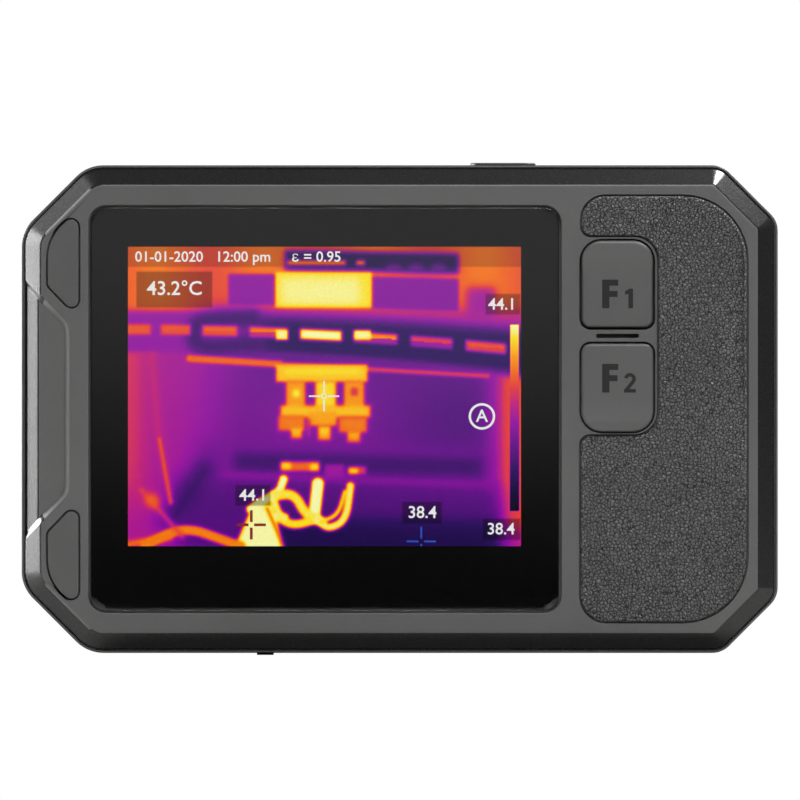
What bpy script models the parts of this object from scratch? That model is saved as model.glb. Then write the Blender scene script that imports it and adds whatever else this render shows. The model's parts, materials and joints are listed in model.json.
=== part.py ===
"""Pocket thermal imaging camera with a touch screen, two function keys and a germanium lens.

Lengths are in millimetres and become metres in the helpers. Seen from the screen side, +X is
to the right and +Z is up. The screen faces -Y and the lens faces +Y. Every length below is
taken from the middle of the case, which stands BASE above the surface it rests on.
"""

import math

import bmesh
import bpy
from mathutils import Matrix, Vector

MM = 0.001
GAP = 0.3            # clearance between pieces that touch
ARC_STEP = 15.0      # degrees of a corner arc that one side covers
SMALLEST_ARC = 0.02  # a corner with a smaller radius is left sharp
TIP_FLAT = 0.01
WELD = 0.0005        # points closer than this are one point

# Case outline
HALF_WIDTH = 67.3
HALF_HEIGHT = 43.4
LEFT_LEG = 11.75     # how far a left corner is cut back along each edge
RIGHT_LEG = 9.9
LEFT_BLEND = 6.9     # radius where a corner cut meets an edge
RIGHT_BLEND = 4.3

# Depths, front to back
FRONT = -12.0        # raised lip of the keys
FACE = -11.5         # flat face of the bezel
BEVEL = 2.8          # 45 degree edge of the bezel
RIM = 0.7            # how much of the rear housing shows beyond the bezel
SPLIT = -8.1         # back of the bezel's edge, where the two shells meet
PLATE_BACK = -8.9    # inside of the bezel's plate
TONGUE_BACK = -5.0   # end of the bezel's tongue, inside the rear housing
BOARD_FRONT = -2.8
BOARD_BACK = -1.6
INNER_BACK = 8.6     # inside of the rear wall
REAR = 10.6          # rear face of the housing
BACK = 12.0          # front edge of the lens ring
WALL = 2.4
REAR_BEVEL = 3.4

LIP_DROP = 0.36      # how far the port cover's pull lip stands below the case
BASE = HALF_HEIGHT + LIP_DROP

# Screen
GLASS_LEFT, GLASS_RIGHT = -55.4, 28.8
GLASS_HALF_HEIGHT = 36.3
GLASS_RADIUS = 3.1
GLASS_EDGE = 0.45    # dark gap round the glass
GLASS_FRONT = -11.3
GLASS_BACK = -10.2
PANEL_LEFT, PANEL_RIGHT = -51.6, 24.8
PANEL_LOW, PANEL_HIGH = -31.4, 31.8
WINDOW_EDGE = 0.4

# Function keys
KEY_LEFT, KEY_RIGHT = 32.3, 45.2
F1_LOW, F1_HIGH = 14.4, 30.0
F2_LOW, F2_HIGH = -4.0, 11.7
KEY_LARGE_RADIUS, KEY_SMALL_RADIUS = 3.7, 1.7
KEY_FLOOR = -11.25   # dished face of a key
KEY_DISH_NEAR = 2.1  # distance from a key's outer end to the start of its dish
KEY_DISH_FAR = 4.6
KEY_FLANGE = 0.8     # how far a key reaches behind the bezel on each side
KEY_SLIT = (38.8, 13.03)
KEY_SLIT_LENGTH, KEY_SLIT_WIDTH = 7.6, 0.75

# Lens side
LENS = (-10.0, 20.0)
CAMERA = (8.0, 25.6)
TORCH = (8.0, 14.4)
SHUTTER_PIVOT = (LENS[0] - 6.5, LENS[1] - 6.5)
SPEAKER_SLOTS = (40.0, -25.0)  # middle of the lowest slot
SLOT_COUNT = 5
SLOT_PITCH = 2.2

# Bottom edge
PORT = (-30.5, 0.3)
COVER_HALF_DEPTH = 3.8
TRIPOD = (0.0, 1.8)
COVER_HINGE_X = -37.4
COVER_LEFT, COVER_RIGHT = -38.0, -21.8
COVER_THICKNESS = 1.2
COVER_RADIUS = 1.4

# Top edge
POWER = (18.4, 1.4)
POWER_LENGTH, POWER_WIDTH = 11.6, 4.0
POWER_RISE = 0.43    # how far the power key stands above the case
POWER_FLANGE = 0.9

# Screw places
CASE_SCREWS = ((-59.9, 25.9), (-59.9, -25.9), (57.0, 27.0), (57.0, -27.0))
BRACKET_SCREWS = ((-53.8, 34.3), (27.2, 34.3), (-53.8, -34.3), (27.2, -34.3))
BOARD_SCREWS = ((-49.0, 33.5), (47.0, 33.5), (-49.0, -33.5), (47.0, -33.5))
CORE_SCREWS = ((LENS[0] + 9.6, LENS[1] + 9.6), (LENS[0] - 9.6, LENS[1] + 9.6))

# Finishes: colour, roughness, metallic
DARK_GREY = ((0.105, 0.105, 0.105), 0.55, 0.0)
SOFT_BLACK = ((0.02, 0.02, 0.02), 0.75, 0.0)
PLUG_GREY = ((0.095, 0.095, 0.095), 0.5, 0.0)
GRIP_GREY = ((0.06, 0.06, 0.06), 0.85, 0.0)
SCREEN_BLACK = ((0.008, 0.008, 0.009), 0.08, 0.0)
PANEL_GLOW = ((0.2, 0.03, 0.25), 0.3, 0.0)
WHITE_SHEET = ((0.8, 0.8, 0.8), 0.4, 0.0)
STEEL = ((0.55, 0.55, 0.56), 0.3, 1.0)
BLACK_STEEL = ((0.05, 0.05, 0.05), 0.35, 1.0)
ALUMINIUM = ((0.75, 0.75, 0.76), 0.35, 1.0)
BLACK_ALUMINIUM = ((0.03, 0.03, 0.03), 0.4, 1.0)
BRASS = ((0.72, 0.5, 0.2), 0.3, 1.0)
BOARD_GREEN = ((0.02, 0.12, 0.06), 0.5, 0.0)
SILICONE = ((0.5, 0.5, 0.5), 0.7, 0.0)
CELL_SILVER = ((0.5, 0.5, 0.52), 0.4, 0.6)
CERAMIC = ((0.25, 0.2, 0.3), 0.3, 0.0)
GERMANIUM = ((0.28, 0.2, 0.16), 0.12, 1.0)
CLEAR = ((0.02, 0.02, 0.03), 0.05, 0.0)

AXES = {
    "X": (Vector((1, 0, 0)), Matrix(((0, 0, 1), (1, 0, 0), (0, 1, 0))).to_4x4()),
    "Y": (Vector((0, 1, 0)), Matrix(((1, 0, 0), (0, 0, -1), (0, 1, 0))).to_4x4()),
    "Z": (Vector((0, 0, 1)), Matrix.Identity(4)),
}


# ---------------------------------------------------------------- scene and helpers

def clear_scene():
    for obj in list(bpy.data.objects):
        bpy.data.objects.remove(obj, do_unlink=True)


def new_collection(name):
    collection = bpy.data.collections.new(name)
    bpy.context.scene.collection.children.link(collection)
    return collection


clear_scene()
PIECES = new_collection("thermal_camera")
CUTTERS = new_collection("cutters")
CENTRE = bpy.data.objects.new("case_centre", None)
CENTRE.location = (0.0, 0.0, BASE * MM)
PIECES.objects.link(CENTRE)


def give_finish(obj, finish):
    colour, roughness, metallic = finish
    material = bpy.data.materials.new(obj.name)
    material.use_nodes = True
    shader = material.node_tree.nodes["Principled BSDF"]
    shader.inputs["Base Color"].default_value = (*colour, 1.0)
    shader.inputs["Roughness"].default_value = roughness
    shader.inputs["Metallic"].default_value = metallic
    material.diffuse_color = (*colour, 1.0)
    obj.data.materials.append(material)


def add_object(name, bm, finish):
    """An object in metres from a bmesh in millimetres. Without a finish it is a helper shape."""
    bmesh.ops.scale(bm, vec=(MM, MM, MM), verts=bm.verts)
    bmesh.ops.recalc_face_normals(bm, faces=bm.faces)
    mesh = bpy.data.meshes.new(name)
    bm.to_mesh(mesh)
    bm.free()
    obj = bpy.data.objects.new(name, mesh)
    obj.parent = CENTRE
    if finish is None:
        CUTTERS.objects.link(obj)
        obj.hide_render = True
        obj.display_type = "WIRE"
    else:
        PIECES.objects.link(obj)
        give_finish(obj, finish)
        mesh.shade_smooth()
        mesh.set_sharp_from_angle(angle=math.radians(30.0))
    return obj


def evaluated_bmesh(obj):
    """The object's shape with its modifiers, or its curve's shape, with loose caps welded."""
    bpy.context.view_layer.update()
    graph = bpy.context.evaluated_depsgraph_get()
    mesh = bpy.data.meshes.new_from_object(obj.evaluated_get(graph))
    bm = bmesh.new()
    bm.from_mesh(mesh)
    bmesh.ops.remove_doubles(bm, verts=bm.verts, dist=WELD)
    bpy.data.meshes.remove(mesh)
    bpy.data.objects.remove(obj, do_unlink=True)
    return bm


def move_origin(obj, point):
    """Puts the object's origin on its joint's axis without moving the shape."""
    shift = Vector(point) * MM
    obj.data.transform(Matrix.Translation(-shift))
    obj.location = shift


def seat(axis, along, centre=(0.0, 0.0)):
    """Puts a flat drawing's z = 0 at a place along X, Y or Z, with its middle at centre."""
    direction, turn = AXES[axis]
    return Matrix.Translation(direction * along) @ turn @ Matrix.Translation((*centre, 0.0))


# ---------------------------------------------------------------- outlines

def rounded(corners, grow=0.0):
    """A closed outline, anticlockwise, with arcs at its corners, grown outwards by grow.

    Each corner is (across, up, radius). A hollow corner's radius shrinks as the outline grows.
    """
    count = len(corners)
    spots = [Vector(corner[:2]) for corner in corners]
    points = []
    for i, spot in enumerate(spots):
        before = (spot - spots[i - 1]).normalized()
        after = (spots[(i + 1) % count] - spot).normalized()
        turn = math.atan2(before.x * after.y - before.y * after.x, before.dot(after))
        reach = math.tan(turn / 2.0)
        normal = Vector((before.y, -before.x))
        corner = spot + normal * grow + before * grow * reach
        radius = max(corners[i][2] + math.copysign(grow, turn), 0.0)
        if radius < SMALLEST_ARC:
            points.append(corner)
            continue
        steps = max(2, round(abs(math.degrees(turn)) / ARC_STEP))
        inward = math.copysign(1.0, turn)
        middle = corner - before * radius * abs(reach) - normal * radius * inward
        spoke = normal * radius * inward
        for step in range(steps + 1):
            angle = turn * step / steps
            points.append(middle + Matrix.Rotation(angle, 2) @ spoke)
    return [(point.x, point.y) for point in points]


def rectangle(left, right, low, high, radius=0.0, grow=0.0):
    corners = [(left, low, radius), (right, low, radius), (right, high, radius), (left, high, radius)]
    return rounded(corners, grow)


def sides(radius):
    """How many sides a round piece has: few on a screw, more on the lens."""
    return 2 * round(min(14.0, 4.5 + 1.3 * radius))


def circle(centre, radius):
    x, y = centre
    count = sides(radius)
    turns = [math.tau * i / count for i in range(count)]
    return [(x + radius * math.cos(turn), y + radius * math.sin(turn)) for turn in turns]


def slot_outline(centre, length, width, grow=0.0):
    """A bar with round ends. A tiny flat at each tip keeps its two arcs apart."""
    x, y = centre
    half = 0.5 * length
    side = 0.5 * width
    return rectangle(x - half, x + half, y - side, y + side, side - TIP_FLAT, grow)


def case_outline(inset=0.0):
    right, top = HALF_WIDTH, HALF_HEIGHT
    corners = [
        (-right + LEFT_LEG, -top, LEFT_BLEND),
        (right - RIGHT_LEG, -top, RIGHT_BLEND),
        (right, -top + RIGHT_LEG, RIGHT_BLEND),
        (right, top - RIGHT_LEG, RIGHT_BLEND),
        (right - RIGHT_LEG, top, RIGHT_BLEND),
        (-right + LEFT_LEG, top, LEFT_BLEND),
        (-right, top - LEFT_LEG, LEFT_BLEND),
        (-right, -top + LEFT_LEG, LEFT_BLEND),
    ]
    return rounded(corners, -inset)


def key_outline(low, high, round_top, grow=0.0):
    top = KEY_LARGE_RADIUS if round_top else KEY_SMALL_RADIUS
    bottom = KEY_SMALL_RADIUS if round_top else KEY_LARGE_RADIUS
    corners = [
        (KEY_LEFT, low, bottom),
        (KEY_RIGHT, low, bottom),
        (KEY_RIGHT, high, top),
        (KEY_LEFT, high, top),
    ]
    return rounded(corners, grow)


def plug_outline(side, grow=0.0):
    """The D shape of a screw plug: side is 1 for the upper one and -1 for the lower one."""
    corners = [
        (-57.15, 16.26, 1.28),
        (-57.15, 35.17, 1.35),
        (-62.66, 30.85, 8.5),
        (-62.66, 22.04, 0.8),
    ]
    if side < 0:
        corners = [(x, -z, radius) for x, z, radius in reversed(corners)]
    return rounded(corners, grow)


def pad_outline(grow=0.0):
    """The C shape of the grip pad, which wraps round the two keys."""
    corners = [
        (32.25, -37.85, 4.6),
        (61.8, -37.85, 11.4),
        (61.8, 37.9, 11.4),
        (32.4, 37.9, 4.2),
        (32.4, 30.9, 1.7),
        (46.1, 30.9, 4.3),
        (46.1, -4.8, 4.4),
        (32.25, -4.8, 1.6),
    ]
    return rounded(corners, grow)


def thumb_outline():
    """The shallow hollow for a thumb, which runs out over the case's left edge."""
    reach = 9.4
    return rounded([
        (-59.2 - reach, -15.6 - reach * 1.05, 0.0),
        (-59.2, -15.6, 1.4),
        (-59.2, 15.6, 0.4),
        (-59.2 - reach, 15.6 + reach * 1.05, 0.0),
    ])


# ---------------------------------------------------------------- solids

def slab_bmesh(name, outline, low, high, axis="Y", holes=()):
    curve = bpy.data.curves.new(name, "CURVE")
    curve.dimensions = "2D"
    curve.fill_mode = "BOTH"
    curve.extrude = 0.5 * (high - low)
    for ring in (outline, *holes):
        spline = curve.splines.new("POLY")
        spline.points.add(len(ring) - 1)
        for point, (across, up) in zip(spline.points, ring):
            point.co = (across, up, 0.0, 1.0)
        spline.use_cyclic_u = True
    drawing = bpy.data.objects.new(name + "_drawing", curve)
    CUTTERS.objects.link(drawing)
    bm = evaluated_bmesh(drawing)
    bm.transform(seat(axis, 0.5 * (low + high)))
    bmesh.ops.recalc_face_normals(bm, faces=bm.faces)
    bmesh.ops.dissolve_limit(bm, angle_limit=math.radians(1.0), verts=bm.verts, edges=bm.edges)
    return bm


def slab(name, outline, low, high, axis="Y", holes=(), finish=None):
    """A flat outline, with holes if given, drawn out from low to high along the axis."""
    return add_object(name, slab_bmesh(name, outline, low, high, axis, holes), finish)


def bevelled_slab(name, outline, low, high, edge_at, width, finish=None):
    """A slab along Y with the edges of its face at edge_at cut at 45 degrees."""
    bm = slab_bmesh(name, outline, low, high)
    edges = [e for e in bm.edges if all(abs(v.co.y - edge_at) < 0.001 for v in e.verts)]
    bmesh.ops.bevel(bm, geom=edges, offset=width, segments=1, affect="EDGES", clamp_overlap=False)
    return add_object(name, bm, finish)


def rod(name, radius, low, high, centre, axis="Y", finish=None):
    bm = bmesh.new()
    bmesh.ops.create_cone(
        bm, cap_ends=True, segments=sides(radius), radius1=radius, radius2=radius, depth=high - low
    )
    bm.transform(seat(axis, 0.5 * (low + high), centre))
    return add_object(name, bm, finish)


def block(name, low, high, edge=0.0, finish=None):
    """A box between two corners, with its edges rounded if edge is given."""
    bm = bmesh.new()
    bmesh.ops.create_cube(bm, size=1.0)
    size = [b - a for a, b in zip(low, high)]
    middle = [0.5 * (a + b) for a, b in zip(low, high)]
    bm.transform(Matrix.Translation(middle) @ Matrix.Diagonal((*size, 1.0)))
    obj = add_object(name, bm, finish)
    if edge > 0.0:
        bevel = obj.modifiers.new("edge", "BEVEL")
        bevel.width = edge * MM
        bevel.segments = 2
    return obj


def turned(name, profile, centre, axis="Y", ring=False, finish=None):
    """A profile of (radius, along) points turned round an axis; a ring's profile is closed."""
    sign = -1.0 if axis == "Y" else 1.0
    mesh = bpy.data.meshes.new(name)
    points = [(radius, 0.0, sign * along) for radius, along in profile]
    edges = [(i, i + 1) for i in range(len(points) - 1)]
    if ring:
        edges.append((len(points) - 1, 0))
    mesh.from_pydata(points, edges, [])
    lathe = bpy.data.objects.new(name + "_lathe", mesh)
    CUTTERS.objects.link(lathe)
    screw = lathe.modifiers.new("turn", "SCREW")
    screw.steps = sides(max(radius for radius, along in profile))
    screw.render_steps = screw.steps
    screw.use_merge_vertices = True
    screw.merge_threshold = 0.0001
    bm = evaluated_bmesh(lathe)
    bm.transform(seat(axis, 0.0, centre))
    return add_object(name, bm, finish)


def boolean(target, others, operation):
    for other in others:
        modifier = target.modifiers.new(other.name, "BOOLEAN")
        modifier.operation = operation
        modifier.solver = "EXACT"
        modifier.object = other


def cut(target, *others):
    boolean(target, others, "DIFFERENCE")


def join(target, *others):
    boolean(target, others, "UNION")


def pan_screw(name, centre, head_at, head_radius, head_height, shank_radius, length, finish=STEEL):
    """A pan-head screw whose head faces the screen."""
    under = head_at + head_height
    tip = head_at + length
    turned(name, [
        (0.0, head_at),
        (head_radius * 0.85, head_at),
        (head_radius, head_at + 0.3 * head_height),
        (head_radius, under),
        (shank_radius, under),
        (shank_radius, tip - 0.3),
        (shank_radius * 0.5, tip),
        (0.0, tip),
    ], centre, finish=finish)


# ---------------------------------------------------------------- front: bezel and what it holds

def make_bezel():
    bezel = bevelled_slab("screen_bezel", case_outline(RIM), FACE, SPLIT, FACE, BEVEL, DARK_GREY)
    inner = slab("bezel_inside", case_outline(4.2), PLATE_BACK, SPLIT + 1.0)
    cut(bezel, inner)
    tongue = slab(
        "bezel_tongue", case_outline(2.7), SPLIT - 0.4, TONGUE_BACK, holes=[case_outline(4.2)]
    )
    join(bezel, tongue)
    for i, centre in enumerate(CASE_SCREWS, 1):
        join(bezel, rod(f"case_boss_{i}", 3.4, PLATE_BACK - 0.4, TONGUE_BACK, centre))
    for i, centre in enumerate(BRACKET_SCREWS, 1):
        join(bezel, rod(f"bracket_boss_{i}", 1.6, PLATE_BACK - 0.4, -6.0, centre))

    half = GLASS_HALF_HEIGHT
    glass_pocket = slab(
        "glass_pocket",
        rectangle(GLASS_LEFT, GLASS_RIGHT, -half, half, GLASS_RADIUS),
        FACE - 1.0,
        GLASS_BACK + GAP,
    )
    window = slab(
        "display_window",
        rectangle(PANEL_LEFT, PANEL_RIGHT, PANEL_LOW, PANEL_HIGH, 0.0, WINDOW_EDGE),
        FACE - 1.0,
        TONGUE_BACK,
    )
    cut(bezel, glass_pocket, window)

    for name, low, high, round_top in (("f1", F1_LOW, F1_HIGH, True), ("f2", F2_LOW, F2_HIGH, False)):
        outline = key_outline(low, high, round_top, GAP)
        cut(bezel, slab(f"{name}_opening", outline, FACE - 1.0, PLATE_BACK + 1.0))
    slit = slot_outline(KEY_SLIT, KEY_SLIT_LENGTH, KEY_SLIT_WIDTH)
    cut(bezel, slab("key_slit", slit, FACE - 1.0, PLATE_BACK + 1.0))

    cut(bezel, slab("pad_pocket", pad_outline(GAP), FACE - 1.0, -10.5))
    for side in (1, -1):
        cut(bezel, slab(f"plug_pocket_{side + 2}", plug_outline(side, GAP), FACE - 1.0, -10.2))
    for i, centre in enumerate(CASE_SCREWS, 1):
        cut(bezel, rod(f"case_counterbore_{i}", 2.4, -10.8, -8.0, centre))
        cut(bezel, rod(f"case_hole_{i}", 1.3, -9.0, TONGUE_BACK + 1.0, centre))
    for i, centre in enumerate(BRACKET_SCREWS, 1):
        cut(bezel, rod(f"bracket_hole_{i}", 1.0, -9.2, -5.0, centre))

    # The thumb hollow follows the face and its 45 degree edge at a lower level.
    hollow_depth = 0.8
    edge_drop = 0.4
    hollow = slab("thumb_hollow", thumb_outline(), FACE - 1.0, SPLIT - 0.1)
    core = bevelled_slab(
        "thumb_floor",
        case_outline(RIM),
        FACE + hollow_depth,
        SPLIT + 1.0,
        FACE + hollow_depth,
        BEVEL - hollow_depth + edge_drop,
    )
    cut(hollow, core)
    cut(bezel, hollow)


def make_screen():
    half = GLASS_HALF_HEIGHT
    slab(
        "touch_glass",
        rectangle(GLASS_LEFT, GLASS_RIGHT, -half, half, GLASS_RADIUS, -GLASS_EDGE),
        GLASS_FRONT,
        GLASS_BACK,
        finish=SCREEN_BLACK,
    )
    panel = rectangle(PANEL_LEFT, PANEL_RIGHT, PANEL_LOW, PANEL_HIGH, 0.6)
    slab("lcd_panel", panel, GLASS_BACK + GAP, -7.9, finish=PANEL_GLOW)
    slab("backlight_unit", panel, -7.6, -6.0, finish=WHITE_SHEET)
    sheet = rectangle(-56.1, 29.6, -36.6, 36.6, 2.0)
    holes = [circle(centre, 1.0) for centre in BRACKET_SCREWS]
    slab("display_bracket", sheet, -5.7, -4.9, holes=holes, finish=STEEL)
    # These screws face the rear, so their heads stand behind the bracket.
    for i, centre in enumerate(BRACKET_SCREWS, 1):
        turned(f"bracket_screw_{i}", [
            (0.0, -8.8),
            (0.45, -8.8),
            (0.7, -8.4),
            (0.7, -4.6),
            (1.5, -4.6),
            (1.5, -4.0),
            (1.2, -3.7),
            (0.0, -3.7),
        ], centre, finish=STEEL)


def make_plugs_and_pad():
    for side, name in ((1, "screw_plug_upper"), (-1, "screw_plug_lower")):
        slab(name, plug_outline(side), FACE, -10.5, finish=PLUG_GREY)
    slab("grip_pad", pad_outline(), FACE - 0.3, -10.8, finish=GRIP_GREY)


# ---------------------------------------------------------------- function keys

def make_key(name, low, high, round_top):
    """A key with a dished face, and a flange behind the bezel that keeps it in."""
    outer_end = high if round_top else low
    inwards = -1.0 if round_top else 1.0
    key = slab(name, key_outline(low, high, round_top), FRONT, -8.4, finish=DARK_GREY)
    flange = slab(f"{name}_flange", key_outline(low, high, round_top, KEY_FLANGE), -8.6, -7.8)
    join(key, flange)
    near = outer_end + inwards * KEY_DISH_NEAR
    far = outer_end + inwards * KEY_DISH_FAR
    beyond = outer_end + inwards * (high - low + 2.0)
    dish = [(FRONT - 1.0, near), (FRONT, near), (KEY_FLOOR, far), (KEY_FLOOR, beyond), (FRONT - 1.0, beyond)]
    cut(key, slab(f"{name}_dish", dish, KEY_LEFT - 1.0, KEY_RIGHT + 1.0, "X"))


def make_keys():
    make_key("button_f1", F1_LOW, F1_HIGH, True)
    make_key("button_f2", F2_LOW, F2_HIGH, False)
    under = rectangle(31.2, 46.4, -5.0, 31.0, 2.0)
    slab("key_mat", under, -7.0, -6.2, finish=SILICONE)
    for name, height in (("f1", 22.2), ("f2", 3.8)):
        middle = 0.5 * (KEY_LEFT + KEY_RIGHT)
        dome = block(
            f"key_switch_{name}",
            (middle - 2.6, -5.6, height - 2.6),
            (middle + 2.6, -4.9, height + 2.6),
            finish=STEEL,
        )
        join(dome, rod(f"key_dome_{name}", 1.6, -5.9, -5.2, (middle, height)))
    slab("key_board", rectangle(31.2, 46.4, -5.0, 31.0, 1.0), -4.6, -3.7, finish=BOARD_GREEN)


# ---------------------------------------------------------------- rear housing

def make_housing():
    housing = bevelled_slab("rear_housing", case_outline(), SPLIT + GAP, REAR, REAR, REAR_BEVEL, DARK_GREY)
    inside = bevelled_slab("housing_inside", case_outline(WALL), SPLIT - 1.0, INNER_BACK, INNER_BACK, 1.8)
    rebate = slab("gasket_rebate", case_outline(1.3), SPLIT - 1.0, -6.4)
    cut(housing, inside, rebate)

    for i, centre in enumerate(CASE_SCREWS, 1):
        join(housing, rod(f"case_post_{i}", 3.0, -4.7, INNER_BACK + 0.5, centre))
        cut(housing, rod(f"case_post_hole_{i}", 1.3, -6.0, 3.0, centre))
    for i, centre in enumerate(BOARD_SCREWS, 1):
        join(housing, rod(f"board_post_{i}", 2.2, BOARD_BACK + GAP, INNER_BACK + 0.5, centre))
        cut(housing, rod(f"board_post_hole_{i}", 1.0, -4.0, 4.0, centre))

    # Tripod insert's seat, a solid boss on the inside of the bottom wall
    join(housing, rod("tripod_boss", 6.3, -HALF_HEIGHT + 2.0, -33.4, TRIPOD, "Z"))
    cut(housing, rod("tripod_seat", 4.9, -HALF_HEIGHT - 1.0, -34.7, TRIPOD, "Z"))

    # Lens side: a shallow recess for the lens panel, and a hole for each lens
    cut(housing, slab("panel_recess", panel_outline(GAP), 9.8, REAR + 1.0))
    cut(housing, rod("lens_hole", 7.6, INNER_BACK - 1.0, REAR + 1.0, LENS))
    cut(housing, rod("seal_seat", 9.0, INNER_BACK - 1.0, 9.3, LENS))
    cut(housing, rod("camera_hole", 3.4, INNER_BACK - 1.0, REAR + 1.0, CAMERA))
    cut(housing, rod("torch_hole", 3.4, INNER_BACK - 1.0, REAR + 1.0, TORCH))
    speaker_x, lowest_slot = SPEAKER_SLOTS
    for i in range(SLOT_COUNT):
        outline = slot_outline((speaker_x, lowest_slot + SLOT_PITCH * i), 9.0, 1.0)
        cut(housing, slab(f"speaker_slot_{i + 1}", outline, INNER_BACK - 1.0, REAR + 1.0))

    # Bottom edge: the port's opening and the recess that its cover lies in
    x, y = PORT
    recess = rectangle(
        COVER_LEFT, COVER_RIGHT, y - COVER_HALF_DEPTH, y + COVER_HALF_DEPTH, COVER_RADIUS, GAP
    )
    cut(housing, slab("cover_recess", recess, -HALF_HEIGHT - 1.0, -HALF_HEIGHT + 1.5, "Z"))
    cut(housing, slab("port_opening", slot_outline(PORT, 10.0, 4.2), -HALF_HEIGHT, -40.0, "Z"))

    # Top edge: the power key's opening
    opening = slot_outline(POWER, POWER_LENGTH, POWER_WIDTH, GAP)
    cut(housing, slab("power_opening", opening, 40.0, HALF_HEIGHT + 1.0, "Z"))

    slab("case_gasket", case_outline(1.6), SPLIT + GAP, -6.7, holes=[case_outline(2.3)], finish=SOFT_BLACK)


def make_case_screws():
    for i, centre in enumerate(CASE_SCREWS, 1):
        pan_screw(f"case_screw_{i}", centre, -9.8, 2.0, 1.5, 1.0, 11.0)


# ---------------------------------------------------------------- inside: boards and battery

def make_board():
    board = slab(
        "main_board", rectangle(-53.0, 51.0, -37.5, 37.5, 3.0), BOARD_FRONT, BOARD_BACK, finish=BOARD_GREEN
    )
    cut(board, block("tripod_notch", (-6.8, -4.0, -40.0), (6.8, 0.0, -32.9)))
    for i, centre in enumerate(BOARD_SCREWS, 1):
        cut(board, rod(f"board_hole_{i}", 1.0, BOARD_FRONT - 1.0, BOARD_BACK + 1.0, centre))
        pan_screw(f"board_screw_{i}", centre, -3.9, 1.6, 0.8, 0.7, 7.0)
    back = BOARD_BACK + GAP
    block("processor_shield", (14.0, back, 8.0), (34.0, back + 2.0, 28.0), 0.3, STEEL)
    block("wifi_module", (-46.0, back, 12.0), (-32.0, back + 1.8, 30.0), 0.2, STEEL)
    block("battery", (-48.0, 0.4, -27.0), (28.0, 7.5, 3.6), 1.2, CELL_SILVER)
    block("battery_pad", (-40.0, 7.8, -23.0), (20.0, 8.3, 0.0), 0.0, SOFT_BLACK)
    speaker = block("speaker", (34.0, 4.2, -28.5), (46.0, 8.3, -12.5), 0.8, SOFT_BLACK)
    cut(speaker, block("speaker_chamber", (35.2, 6.8, -27.3), (44.8, 9.0, -13.7)))


def make_usb_socket():
    """A metal shell open at the bottom, with the contact tongue standing in it."""
    x, y = PORT
    low, high = -40.6, -33.3
    shell = slab("usb_socket", slot_outline(PORT, 8.9, 3.2), low, high, "Z", finish=STEEL)
    cut(shell, slab("usb_mouth", slot_outline(PORT, 8.3, 2.6), low - 1.0, high - 0.9, "Z"))
    block("usb_tongue", (x - 3.1, y - 0.35, low + 0.6), (x + 3.1, y + 0.35, high - 1.2), 0.0, SOFT_BLACK)


def make_power_key():
    outline = slot_outline(POWER, POWER_LENGTH, POWER_WIDTH)
    key = slab("power_button", outline, 40.2, HALF_HEIGHT + POWER_RISE, "Z", finish=SOFT_BLACK)
    flange = slot_outline(POWER, POWER_LENGTH, POWER_WIDTH, POWER_FLANGE)
    join(key, slab("power_flange", flange, 39.9, 40.7, "Z"))
    back = BOARD_BACK + GAP
    switch = block("power_switch", (15.4, back, 36.0), (21.4, back + 4.4, 38.4), 0.0, STEEL)
    join(switch, rod("power_plunger", 1.0, 38.0, 39.2, POWER, "Z"))


# ---------------------------------------------------------------- lens side

def panel_outline(grow=0.0):
    return rectangle(-23.0, 15.0, 7.0, 33.0, 6.0, grow)


def make_core():
    """The thermal core: a cup that holds the detector, with the shutter between it and the lens."""
    x, z = LENS
    outer, inner = 11.7, 10.1
    core = slab(
        "ir_core_housing",
        rectangle(x - outer, x + outer, z - outer, z + outer, 1.5),
        -1.0,
        5.4,
        finish=ALUMINIUM,
    )
    cut(core, slab("core_pocket", rectangle(x - inner, x + inner, z - inner, z + 7.4, 0.5), 0.6, 6.0))
    cut(core, *[rod(f"core_screw_hole_{i}", 0.9, 1.0, 6.0, spot) for i, spot in enumerate(CORE_SCREWS, 1)])
    detector = block("ir_detector", (x - 3.2, 0.9, z - 3.2), (x + 3.2, 2.8, z + 3.2), 0.0, CERAMIC)
    join(detector, block("detector_window", (x - 2.5, 2.7, z - 2.5), (x + 2.5, 3.1, z + 2.5)))

    px, pz = SHUTTER_PIVOT
    turned("shutter_motor", [
        (0.0, 0.9), (2.9, 0.9), (2.9, 3.2), (0.5, 3.2), (0.5, 4.7), (0.0, 4.7),
    ], SHUTTER_PIVOT, finish=BLACK_STEEL)
    arm_length = math.hypot(x - px, z - pz)
    blade = rod("shutter_blade", 3.0, 3.7, 4.1, (px, pz + arm_length), finish=BLACK_ALUMINIUM)
    join(blade, block("blade_arm", (px - 0.9, 3.7, pz), (px + 0.9, 4.1, pz + arm_length)))
    join(blade, rod("blade_hub", 1.5, 3.7, 4.5, SHUTTER_PIVOT))
    cut(blade, rod("blade_hub_hole", 0.8, 3.0, 5.0, SHUTTER_PIVOT))
    move_origin(blade, (px, 3.9, pz))


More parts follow.
